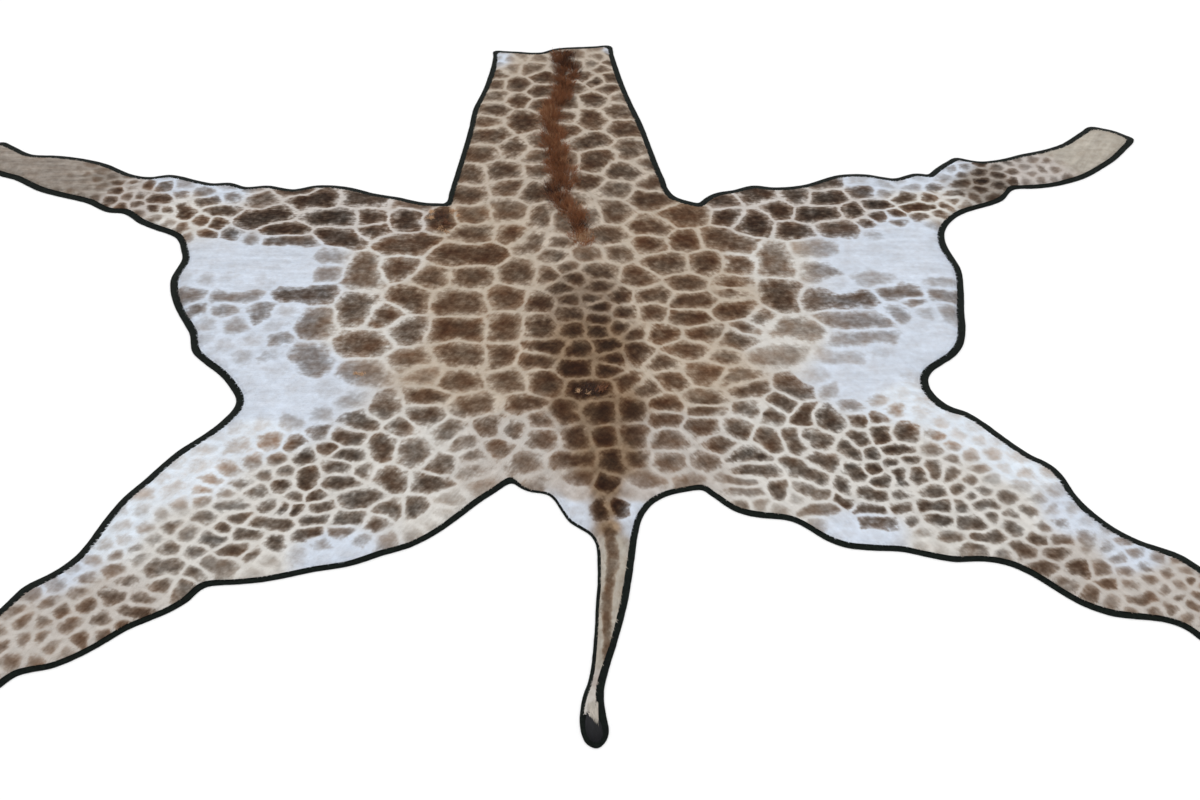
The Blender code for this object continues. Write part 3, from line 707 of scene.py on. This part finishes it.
def patches_of(strings):
    """Each patch's two ends in metres and how dark it is from 0 to 1, one row each."""
    rows = []
    for row in strings:
        if len(row) == 3:
            rows.append(row[:2] * 2 + row[2:])
        elif len(row) == 5:
            rows.append(row)
        else:
            (x0, y0, x1, y1), (first, last) = row[:4], row[-2:]
            for share in np.linspace(0, 1, row[4] if len(row) == 7 else 2):
                x, y = x0 + (x1 - x0) * share, y0 + (y1 - y0) * share
                rows.append((x, y, x, y, first + (last - first) * share))
    return np.array(rows) * (0.001, 0.001, 0.001, 0.001, 0.01)


def part_shares(places):
    """How much each place belongs to each part of the coat, as shares of one."""
    centres = np.array([part[:2] for part in COAT_PARTS])
    reach = np.array([part[2] for part in COAT_PARTS])
    gaps = np.linalg.norm(places[:, None] - centres, axis=2) / reach
    shares = 1 / (PART_BLEND + gaps**2) ** PART_POWER
    return shares / shares.sum(1)[:, None]


def by_parts(shares, column):
    """What a column of the coat's parts comes to, by how much a place belongs to each part."""
    return shares @ np.array([part[column] for part in COAT_PARTS])


def to_patches(places, patches):
    """The distance from each place to each patch's middle line."""
    start, run = patches[..., :2], patches[..., 2:4] - patches[..., :2]
    long = np.maximum((run**2).sum(-1), 1e-12)
    off = places - start
    along = np.clip((off * run).sum(-1) / long, 0, 1)
    return np.linalg.norm(off - run * along[..., None], axis=-1)


def warped(places):
    """Places shifted by smooth noise, so that no patch has straight sides."""
    shift = np.zeros_like(places)
    for size, fine, seed in WARP:
        for axis in (0, 1):
            shift[:, axis] += size * wave(places, fine, seed + 5 * axis)
    return places + shift


def filler(line, patches, dice):
    """Patches for the places that no string reaches, spaced as their part of the coat asks."""
    tries = lattice(line, FILLER_TRIES, FILLER_UNEVEN, dice)
    shares = part_shares(tries)
    apart = by_parts(shares, 5) / 100
    depth = by_parts(shares, 6)
    kept = patches
    for index in dice.permutation(len(tries)):
        near = to_patches(tries[index][None], kept)
        if near.min() > apart[index] * FILLER_CLOSENESS:
            x, y = tries[index]
            dark = depth[index] * dice.uniform(*FILLER_DEPTHS)
            kept = np.vstack([kept, (x, y, x, y, dark)])
    return kept


patches = filler(skin_line, patches_of(PATCH_STRINGS), dice)
patch_odds = dice.uniform(0, 1, len(patches))
tones = np.array([paint(*GROUND_TONES[part[3]])[:3] for part in COAT_PARTS])


def three_nearest(places):
    """The three patches nearest to each place, in no order."""
    found = np.empty((len(places), 3), int)
    rows = np.argsort(places[:, 1])
    low, high = patches[:, (1, 3)].min(1), patches[:, (1, 3)].max(1)
    for some in np.array_split(rows, max(1, len(rows) // PLACES_AT_ONCE)):
        ys = places[some, 1]
        near = np.nonzero((low < ys.max() + PATCH_REACH) & (high > ys.min() - PATCH_REACH))[0]
        reach = to_patches(places[some, None], patches[near])
        found[some] = near[np.argpartition(reach, 3, 1)[:, :3]]
    return found


def keep_coat(mesh, places, corners, per_point=1, per_corner=1):
    """Keeps on a mesh all that the coat's finish reads. The ground and the lie of the hair are
    worked out at places, the patches at corners, and each is given to so many in turn."""
    batches = np.array_split(places, GROUND_BATCHES)
    shares = np.concatenate([part_shares(some) for some in batches])
    ground = np.column_stack([shares @ tones, by_parts(shares, 4)])
    keep_on(mesh, "ground", "FLOAT_COLOR", "POINT", np.repeat(ground, per_point, 0))
    lie = lie_at(places)
    streaks = []
    for turn in STREAK_TURNS:
        along = lie @ np.array([math.cos(turn), math.sin(turn)])
        streaks.append(np.clip(along**2 - 0.25, 0, 1))
    streaks = np.stack(streaks, 1)
    streaks /= streaks.sum(1)[:, None]
    keep_on(mesh, "lie", "FLOAT_VECTOR", "POINT", np.repeat(streaks, per_point, 0))
    nearest = np.repeat(three_nearest(corners.mean(1)), corners.shape[1], 0)
    spans = to_patches(corners.reshape(-1, 1, 2), patches[nearest])
    for name, values in (("spans", spans), ("depths", patches[nearest, 4]),
                         ("odds", patch_odds[nearest])):
        keep_on(mesh, name, "FLOAT_VECTOR", "CORNER", np.repeat(values, per_corner, 0))


# The way that the hair lies: a place and an angle, which the coat follows between them.
HAIR_LIE = (
    (-.30, 1.8, 262), (.0, 1.8, 278), (-.35, 1.3, 255), (.06, 1.3, 285), (-.14, 1.4, 270),
    (-.40, .95, 228), (.15, .95, 315), (-.30, .5, 215), (.20, .5, 325), (-.04, .3, 270),
    (-.05, .0, 270), (.0, -.3, 270), (-.6, .85, 188), (-.95, .88, 180), (-1.3, .95, 172),
    (-1.7, 1.1, 165), (.5, .88, 352), (.85, .9, 0), (1.15, 1.0, 20), (1.5, 1.2, 40),
    (-.6, .45, 205), (-.95, .5, 185), (-.8, .2, 205), (-.85, .0, 195), (.5, .4, 335),
    (.85, .45, 352), (.75, .2, 335), (.75, .05, 345), (-.35, .1, 215), (.3, .1, 325),
    (-.5, -.2, 225), (-.75, -.4, 218), (-1.0, -.6, 222), (-1.3, -.85, 222), (-1.6, -1.2, 230),
    (.5, -.2, 315), (.75, -.35, 318), (1.0, -.55, 315), (1.3, -.7, 312), (1.6, -1.0, 308),
    (-.9, -.2, 215), (-1.1, -.45, 225), (.9, -.1, 322), (1.1, -.4, 315), (-.3, -.3, 235),
    (.3, -.3, 305), (.02, -.6, 270), (.0, -.9, 265),
)
LIE_BLEND, LIE_POWER = 0.06, 4
STREAK_TURNS = (0.0, math.pi / 3, 2 * math.pi / 3)
# How wide and how long the streaks of single hairs, of tufts and of the coat's flow are.
STREAKS = ((0.0017, 0.010), (0.006, 0.026), (0.017, 0.100))
# How wide the coat's clots, blotches and clouds are, and how detailed.
SPOTS = ((0.016, 3), (0.05, 3), (0.17, 2))
# Half the width of the pale lines, more between large patches, and how soft their borders are.
LINE_HALF, LINE_HALF_SHARE = 0.0028, 0.009
BORDER_SOFT = 0.0018
# How much red, green and blue light the pigment takes up: less by its warmth, and at all.
PIGMENT = ((0.7, 2.62), (0.13, 2.85), (-0.35, 3.05))


def lie_at(places):
    """The direction of the hair at each place."""
    table = np.array(HAIR_LIE)
    gaps = np.linalg.norm(places[:, None] - table[:, :2], axis=2)
    shares = 1 / (LIE_BLEND + gaps) ** LIE_POWER
    turns = np.radians(table[:, 2])
    return unit(shares @ np.stack([np.cos(turns), np.sin(turns)], 1))


keep_coat(skin.data, points[:, :2], warped(points[:, :2])[faces])


def coat_finish(name, of_hairs):
    """The coat's finish: on the skin itself, or on hairs that each have a shade of their own."""
    finish, tone = new_finish(name, Roughness=0.8, Specular_IOR_Level=0.12)
    place = tone.place()
    shares = tone.kept("lie").parts()
    hair, tuft, flow = (sum(share * tone.grain(place, wide, 2, long, turn)
                            for share, turn in zip(shares, STREAK_TURNS))
                        for wide, long in STREAKS)
    clot, blotch, cloud = (tone.grain(place, *spot) for spot in SPOTS)
    if of_hairs:
        hair = tone.kept("own", "Fac")

    # Which of the three patches around a point is the nearest, and by how much.
    first, second, third = tone.kept("spans").parts()
    low, high = first.least(second), first.most(second)
    nearest_one = low.least(third)
    furthest = high.most(third)
    middle_one = low.most(high.least(third))
    is_third = third.under(low)
    is_first = (1 - low.under(first)) * (1 - is_third)
    is_second = 1 - is_first.most(is_third)

    def of_nearest(kept):
        values = tone.kept(kept).parts()
        return values[0] * is_first + values[1] * is_second + values[2] * is_third

    depth, odd = of_nearest("depths"), of_nearest("odds")
    gap, wide_gap = middle_one - nearest_one, furthest - nearest_one
    # How far inside its patch the point is: from the pale line, over the soft border, to the core.
    close = (PATCH_ROUNDING - (wide_gap - gap)).most(0.0) / PATCH_ROUNDING
    border = (gap - close * close * (PATCH_ROUNDING / 4)) * 0.5
    size = nearest_one + middle_one
    border = border + (hair.swing(0.04) + tuft.swing(0.10)) * size
    half = size * LINE_HALF_SHARE + LINE_HALF
    soft = size * (0.06 - 0.05 * depth) + BORDER_SOFT
    inside = border.rise(half - soft * 0.5, half + soft * 1.4)
    core = border.rise(half, half + size * 0.30)
    # How brown the coat is there. The pigment takes up blue light most and red light least.
    warmth = tone.kept("ground", "Alpha") + odd.swing(0.26) + blotch.swing(1.3) + 0.06
    mottle = hair.swing(0.22) + tuft.swing(0.7) + clot.swing(1.5) + blotch.swing(1.2)
    uneven = 0.36 + core * 0.74 + odd.swing(0.22) + cloud.swing(0.8) + mottle
    ground = tone.kept("ground", "Color")
    dim = 1 - ground.parts()[0].rise(0.30, 0.52)
    bare = 1 - inside * depth.rise(0.0, 0.3)
    pigment = (inside * depth * uneven).most(0.0) + bare * (mottle * (dim * 0.12 + 0.06) + 0.02)
    light = [(pigment * (warmth * less - taken)).power_of_e() for less, taken in PIGMENT]
    brown = tone.node("ShaderNodeCombineColor", {}, dict(enumerate(light)))
    colour = tone.node("ShaderNodeVectorMath", {"operation": "MULTIPLY"}, {0: ground, 1: brown})
    streak = hair.swing(0.09) + tuft.swing(0.16) + flow.swing(dim * 0.9 + 0.45)
    colour = colour.times(1.07 + streak)
    tone.feed("Base Color", colour)
    tone.feed("Normal", (hair * 0.6 + tuft * 0.8).bump(0.0008))
    return finish


skin.data.materials.append(coat_finish("short_coat", False))
finish, tone = new_finish("flesh_side", Roughness=0.85)
suede = tone.grain(tone.place(), 0.004, 4) * 0.5 + tone.grain(tone.place(), 0.06, 2) * 0.5
tan, pale = paint(176, 150, 118), paint(206, 186, 156)
tone.feed("Base Color", suede.rise(0.3, 0.7).between(tan, pale))
skin.data.materials.append(finish)
for face in skin.data.polygons[-len(lower[1]):]:
    face.material_index = 1
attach(skin, "root")
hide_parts("hide")

# Rim hair
# The short coat lies outwards over the skin's cut edge and ends there in small uneven locks.
# Each lock is a flat pointed blade in its own patch's colour.

LOCK_APART = 0.0013
LOCK_LENGTH = 0.0075
LOCK_UNEVEN = 0.004
LOCK_WIDTH = 0.0017
LOCK_SETBACKS = (0.002, 0.010)
LOCK_SAGS = (0.0004, 0.0024)
LOCK_DEPTH = 0.0004


def strands(name, roots, ways, lengths, width, sag, tilt=0.0, bent=True):
    """Flat pointed hairs as one mesh, of one face each, or of three where they are bent. The
    width and the sag are one for all, or one for each. A tilt turns the flat sides of hairs
    that stand upright towards the tail."""
    level = ways + (0, tilt, 0)
    sides = unit(np.column_stack([-level[:, 1], level[:, 0], np.zeros(len(ways))]))
    sides = sides * np.reshape(width, (-1, 1)) / 2
    ways = ways * lengths[:, None]
    down = np.zeros_like(roots)
    down[:, 2] = sag
    halfway = roots + ways * 0.55 - down * 0.3
    tips = roots + ways - down
    if bent:
        rows = [roots + sides, roots - sides, halfway + sides * 0.8, halfway - sides * 0.8, tips]
        pattern = np.array([(0, 1, 3), (0, 3, 2), (2, 3, 4)])
    else:
        rows = [roots + sides, roots - sides, tips]
        pattern = np.array([(0, 1, 2)])
    points = np.stack(rows, 1).reshape(-1, 3)
    faces = (np.arange(len(roots)) * len(rows))[:, None, None] + pattern
    piece = new_piece(name, points, faces.reshape(-1, 3))
    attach(piece, "root")
    return piece


run = run_of(skin_line)
spots = np.arange(0, run[-1], LOCK_APART)
count = len(spots)
spots = spots + dice.uniform(-0.5, 0.5, count) * LOCK_APART
out = along_at(spots, run, moved(skin_line, 1) - skin_line)
back = dice.uniform(*LOCK_SETBACKS, count)
places = along_at(spots, run, skin_line) - out * back[:, None]
way = unit(lie_at(places) * 0.9 + out * 0.8 + dice.normal(0, 0.22, places.shape))
lengths = LOCK_LENGTH + LOCK_UNEVEN * wave(places, 70, 21)
lengths = lengths * dice.uniform(0.6, 1.2, count)
roots = np.column_stack([places, on_top(places) - LOCK_DEPTH])
ways = np.column_stack([way, dice.uniform(-0.02, 0.12, count)])
sags = dice.uniform(*LOCK_SAGS, count)
rim = strands("rim_hair", roots, ways, lengths, LOCK_WIDTH, sags)
keep_coat(rim.data, places, warped(places)[:, None], per_point=5, per_corner=9)
keep_on(rim.data, "own", "FLOAT", "POINT", np.repeat(dice.uniform(0.2, 0.8, count), 5))
hair_finish = coat_finish("coat_hairs", True)
rim.data.materials.append(hair_finish)
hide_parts("hide")

# Coat hair
# The coat itself, as short flat hairs that lie close on the skin from the neck towards the tail
# and outwards over the legs. Each has the colour that the coat has under its middle.

HAIR_APART = 0.0036
HAIR_LENGTH = 0.0092
HAIR_WIDTHS = (0.0016, 0.0028)
HAIR_DEPTH = 0.0005
BARE_RIM = 0.006
SPINE_X = -0.02

for name, side in (("coat_left", -1), ("coat_right", 1)):
    places = lattice(skin_line, HAIR_APART, 0.5, dice)
    places = places[(places[:, 0] - SPINE_X) * side >= 0]
    places = places[distance_from(skin_line, places) > BARE_RIM]
    count = len(places)
    swirl = wave(places, 22, 31) + 0.6 * wave(places, 75, 33)
    turn = swirl * 0.55 + dice.normal(0, 0.13, count)
    x, y = lie_at(places).T
    way = np.stack([x * np.cos(turn) - y * np.sin(turn), x * np.sin(turn) + y * np.cos(turn)], 1)
    lengths = HAIR_LENGTH * dice.uniform(0.7, 1.15, count)
    ways = np.column_stack([way, 0.10 + dice.uniform(-0.05, 0.06, count)])
    roots = np.column_stack([places, on_top(places) - HAIR_DEPTH])
    roots[:, :2] -= way * lengths[:, None] * 0.5
    widths = dice.uniform(*HAIR_WIDTHS, count)
    nap = strands(name, roots, ways, lengths, widths, 0, bent=False)
    keep_coat(nap.data, places, warped(places)[:, None], per_point=3, per_corner=3)
    keep_on(nap.data, "own", "FLOAT", "POINT", np.repeat(dice.beta(3, 3, count), 3))
    nap.data.materials.append(hair_finish)
    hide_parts("hide")

# Mane
# Stiff rust-brown hair that stands along the middle of the neck, in clumps that lean to the left
# or the right and back towards the tail. It grows from the skin, and its ends are uneven.

# Points along the mane, with how wide and how tall the hair is there, in metres.
MANE_LINE = (
    (-.128, 1.888, .050, .024), (-.128, 1.831, .072, .038), (-.114, 1.741, .060, .040),
    (-.120, 1.654, .050, .032), (-.132, 1.569, .054, .034), (-.149, 1.529, .060, .036),
    (-.160, 1.486, .052, .036), (-.169, 1.405, .050, .036), (-.151, 1.326, .058, .036),
    (-.145, 1.249, .060, .036), (-.143, 1.173, .066, .036), (-.119, 1.099, .076, .038),
    (-.116, 1.027, .090, .038), (-.140, .975, .090, .036), (-.104, .923, .068, .034),
    (-.078, .873, .066, .034), (-.070, .819, .064, .032), (-.059, .777, .056, .030),
    (-.052, .724, .054, .020), (-.048, .700, .050, .012),
)
# Where the mane is lighter or darker than elsewhere: a place, its reach and how much.
MANE_SPOTS = (
    (-.120, 1.78, .060, -.50), (-.130, 1.87, .040, -.35), (-.164, .985, .034, -.60),
    (-.057, .80, .022, -.60), (-.150, 1.48, .032, .35), (-.160, 1.40, .060, .12),
    (-.140, 1.25, .110, .18), (-.110, 1.06, .060, .20), (-.080, .885, .035, .34),
    (-.050, .735, .032, 1.0),
)
CLUMPS = 300
CLUMP_HAIRS = 56
CLUMP_SPREAD = (0.0078, 0.010)
MOST_SPREAD = 0.03
LOW_SHARE = 0.28
NECK_CUT_Y = 1.884
MANE_HAIR_WIDTH = 0.0012
LOWEST_TIP = 0.006
ROOT_DEPTH = 0.0006
HAIR_TILT = 0.4
ALONG = (0, 0, 0.55, 0.55, 1)


def keep_kind(mesh, shade, odd):
    """Keeps each hair's shade and a number of its own, and how far along the hair a point is."""
    kinds = np.repeat(np.stack([shade, odd, np.zeros(len(shade))], 1), len(ALONG), 0)
    kinds[:, 2] = np.tile(ALONG, len(shade))
    keep_on(mesh, "kind", "FLOAT_VECTOR", "POINT", kinds)


line = np.array(MANE_LINE)
shares = np.sort(dice.uniform(0, 1, CLUMPS)) * 0.25 + np.linspace(0, 1, CLUMPS) * 0.75
at_y = line[0, 1] + (line[-1, 1] - line[0, 1]) * shares
middle, wide, tall = (np.interp(-at_y, -line[:, 1], line[:, column]) for column in (0, 2, 3))
off = np.clip(dice.normal(0, 0.60, CLUMPS), -1.15, 1.15)
clump_x = middle + off * wide * 0.40
tall = tall * dice.uniform(0.7, 1.1, CLUMPS)
lean = off * 0.5 + dice.uniform(-0.45, 0.45, CLUMPS)
back = dice.uniform(-0.6, 0.1, CLUMPS)
shade = dice.beta(1.3, 1.5, CLUMPS) * 0.8 + 0.1
for x, y, reach, lighter in MANE_SPOTS:
    shade += lighter * np.exp(-((clump_x - x)**2 + (at_y - y)**2) / reach**2)
which = np.repeat(np.arange(CLUMPS), CLUMP_HAIRS)
count = len(which)
low = dice.uniform(0, 1, count) < LOW_SHARE
spread = dice.normal(0, 1, (count, 2)) * CLUMP_SPREAD * np.where(low, 2.0, 1.0)[:, None]
spread = np.clip(spread, -MOST_SPREAD, MOST_SPREAD)
places = np.stack([clump_x[which], at_y[which]], 1) + spread
places[:, 1] = np.minimum(places[:, 1], NECK_CUT_Y - dice.uniform(0, 0.01, count))
ways = np.column_stack([lean[which], back[which], np.where(low, 0.30, 1.0)])
ways = ways + dice.normal(0, 0.30, ways.shape)
ways[:, 2] = np.maximum(ways[:, 2], 0.06)
ways[:, :2] += spread * np.where(low, 12, -3)[:, None]
ways = unit(ways)
lengths = tall[which] * dice.uniform(0.6, 1.05, count) * np.where(low, 0.55, 1.0)
sags = lengths * dice.uniform(0.02, 0.22, count)
roots = np.column_stack([places, on_top(places) - ROOT_DEPTH])
sags = np.minimum(sags, roots[:, 2] - LOWEST_TIP + ways[:, 2] * lengths)
mane = strands("mane_hair", roots, ways, lengths, MANE_HAIR_WIDTH, sags, HAIR_TILT)
keep_kind(mane.data, shade[which], dice.uniform(0, 1, count))
finish, tone = new_finish("mane_rust", Roughness=0.62, Specular_IOR_Level=0.3)
clump, odd, along = tone.kept("kind").parts()
dark, rust, light = paint(46, 28, 18), paint(136, 86, 54), paint(192, 156, 120)
tip = along * 0.35 + clump * 0.85 + odd * 0.4 - 0.30
colour = (tip.rise(0.72, 1.3) * 0.8).between(tip.rise(-0.1, 0.7).between(dark, rust), light)
tone.feed("Base Color", colour)
mane.data.materials.append(finish)
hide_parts("mane")

# Whorls
# Where the hair grows round in a whorl it stands up in a small rough tuft: one on the left where
# the neck meets the shoulder, one on the back, dark with a few pale hairs whose pale colour is a
# painted highlight, and a small pale one on the left of the trunk.

# A place, its reach, how many hairs, how light they are and the way that they lean.
WHORLS = (
    (-.476, .842, .015, 190, .00, -.5, .5), (-.466, .812, .013, 130, .22, .5, -.3),
    (-.474, .786, .006, 40, 1.7, -.3, -.7), (-.456, .766, .005, 30, 1.6, .4, -.6),
    (-.505, .868, .006, 34, 1.6, -.5, .7), (-.503, .836, .006, 34, 1.7, -.6, .3),
    (-.446, .872, .007, 34, 1.4, .5, .6), (-.430, .848, .005, 24, 1.4, .6, .4),
    # The small pale tufts at -.054, .024 and -.033, .014 beside the dark whorl on the back are a
    # painted highlight: their pale colour stands for glints.
    (-.030, .030, .022, 260, -.10, .4, -.3), (-.054, .024, .004, 26, 1.9, -.3, .5),
    (-.033, .014, .004, 22, 1.8, .4, .3), (.000, .036, .010, 80, .30, .6, .2),
    (-.640, .094, .005, 22, 1.7, -.9, .0), (-.624, .093, .005, 22, 1.7, -.9, .0),
)
WHORL_LENGTHS = (0.010, 0.019)
WHORL_UNEVEN = 0.5
WHORL_RISE = 0.55
WHORL_SAG = 0.25
WHORL_HAIR_WIDTH = 0.0013

places, leans, shades = [], [], []
for x, y, reach, count, light, lean_x, lean_y in WHORLS:
    places.append(dice.normal(0, reach * 0.6, (count, 2)) + (x, y))
    leans.append(dice.normal(0, WHORL_UNEVEN, (count, 2)) + (lean_x, lean_y))
    shades.append(np.full(count, light))
places, leans, shades = np.vstack(places), np.vstack(leans), np.concatenate(shades)
count = len(places)
ways = unit(np.column_stack([leans, np.full(count, WHORL_RISE)]))
lengths = dice.uniform(*WHORL_LENGTHS, count)
roots = np.column_stack([places, on_top(places) - ROOT_DEPTH])
sags = lengths * WHORL_SAG
whorls = strands("whorls", roots, ways, lengths, WHORL_HAIR_WIDTH, sags, HAIR_TILT)
keep_kind(whorls.data, shades, dice.uniform(0, 1, count))
whorls.data.materials.append(finish)
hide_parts("hide")

# Tail tuft
# The black switch at the end of the tail, cut short, lying on the lobe of felt. Its coarse hairs
# start close together from the tail's tip and end in a blunt round brush.

TUFT_ROOT = (-0.0195, -1.0348)
TUFT_LONG = 0.066
TUFT_HAIRS = 3200
TUFT_SPREAD = 0.0042
TUFT_LOW, TUFT_THICK = 0.0035, 0.0080
TUFT_FLOOR = 0.0032
TUFT_MOST_SAG = 0.01
# The pale hair of the tail runs on over the black switch as a narrow tongue.
TONGUE_HAIRS = 520
TONGUE_SPREAD = 0.0056
TONGUE_RUN = 0.034
TONGUE_HIGH = 0.0102
TONGUE_SINK = 0.0024
TONGUE_THICK = 0.0015
TONGUE_SAG = 0.0006
TONGUE_LENGTH = 0.024
TAIL_HAIR_WIDTH = 0.0012

fan = np.clip(dice.normal(0, 1, TUFT_HAIRS), -2.2, 2.2)
deep = dice.uniform(0, 1, TUFT_HAIRS)
start = dice.uniform(-0.014, 0.0, TUFT_HAIRS) + 0.002 * np.maximum(-fan, 0)
roots = np.column_stack([TUFT_ROOT[0] + 0.001 + fan * TUFT_SPREAD, TUFT_ROOT[1] + start,
                         TUFT_LOW + deep * TUFT_THICK])
ways = np.column_stack([0.18 + fan * 0.11, np.full(TUFT_HAIRS, -1.0), 0.05 - deep * 0.06])
ways = unit(ways + dice.normal(0, 0.035, ways.shape))
lengths = TUFT_LONG * np.sqrt(1 - (fan / 2.6)**2) * dice.uniform(0.72, 1.0, TUFT_HAIRS)
sags = np.clip(roots[:, 2] + ways[:, 2] * lengths - TUFT_FLOOR, 0, TUFT_MOST_SAG)
sags = sags * dice.uniform(0.2, 0.95, TUFT_HAIRS)
fan = np.clip(dice.normal(0, 1, TONGUE_HAIRS), -2, 2)
back = dice.uniform(0, 1, TONGUE_HAIRS)**2
high = TONGUE_HIGH - TONGUE_SINK * back + dice.uniform(0, TONGUE_THICK, TONGUE_HAIRS)
starts = np.column_stack([TUFT_ROOT[0] + 0.004 + fan * TONGUE_SPREAD,
                          TUFT_ROOT[1] - 0.002 + TONGUE_RUN * back, high])
roots = np.vstack([roots, starts])
aims = np.column_stack([0.16 - fan * 0.10, np.full(TONGUE_HAIRS, -1.0),
                        np.full(TONGUE_HAIRS, 0.07)])
ways = np.vstack([ways, aims + dice.normal(0, 0.05, aims.shape)])
reach = (TONGUE_LENGTH + 0.007 * fan) * dice.uniform(0.55, 1.0, TONGUE_HAIRS)
lengths = np.append(lengths, reach)
sags = np.append(sags, np.full(TONGUE_HAIRS, TONGUE_SAG))
switch = strands("tail_switch", roots, ways, lengths, TAIL_HAIR_WIDTH, sags)
count = len(roots)
keep_kind(switch.data, dice.uniform(0, 1, count), (np.arange(count) >= TUFT_HAIRS).astype(float))
finish, tone = new_finish("tail_black", Roughness=0.5, Specular_IOR_Level=0.3)
odd, paleness, along = tone.kept("kind").parts()
black, grey = paint(14, 14, 17), paint(38, 38, 44)
colour = (odd.rise(0.45, 1.0) * 0.6 + along * 0.15).between(black, grey)
colour = (paleness * (0.7 + odd * 0.3)).between(colour, paint(196, 188, 176))
tone.feed("Base Color", colour)
switch.data.materials.append(finish)
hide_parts("tail_tuft")

# Camera and light
# The photograph looks down at the skin from the tail end, 40 degrees above the floor, through a
# 48 mm lens on a 36 mm wide frame. The light is even and soft, with a little more from above.

VIEW_DISTANCE = 4.16
VIEW_ANGLE = math.radians(40)
LENS, FRAME_WIDTH = 48, 36
SKY_STRENGTH = 0.89
LAMP_ENERGY = 0.8
LAMP_ANGLE = math.radians(35)
LAMP_TILT = (math.radians(28), math.radians(-18), 0)

lens = bpy.data.cameras.new("camera")
lens.lens, lens.sensor_width = LENS, FRAME_WIDTH
camera = bpy.data.objects.new("camera", lens)
camera.location = (0, -VIEW_DISTANCE * math.cos(VIEW_ANGLE), VIEW_DISTANCE * math.sin(VIEW_ANGLE))
camera.rotation_euler = (math.pi / 2 - VIEW_ANGLE, 0, 0)
bpy.context.scene.collection.objects.link(camera)
bpy.context.scene.camera = camera

sky = bpy.data.worlds.new("studio")
sky.use_nodes = True
sky.node_tree.nodes["Background"].inputs["Color"].default_value = (1, 1, 1, 1)
sky.node_tree.nodes["Background"].inputs["Strength"].default_value = SKY_STRENGTH
bpy.context.scene.world = sky
lamp = bpy.data.lights.new("softbox", "SUN")
lamp.energy = LAMP_ENERGY
lamp.angle = LAMP_ANGLE
softbox = bpy.data.objects.new("softbox", lamp)
softbox.rotation_euler = LAMP_TILT
bpy.context.scene.collection.objects.link(softbox)
bpy.context.scene.view_settings.view_transform = "Standard"
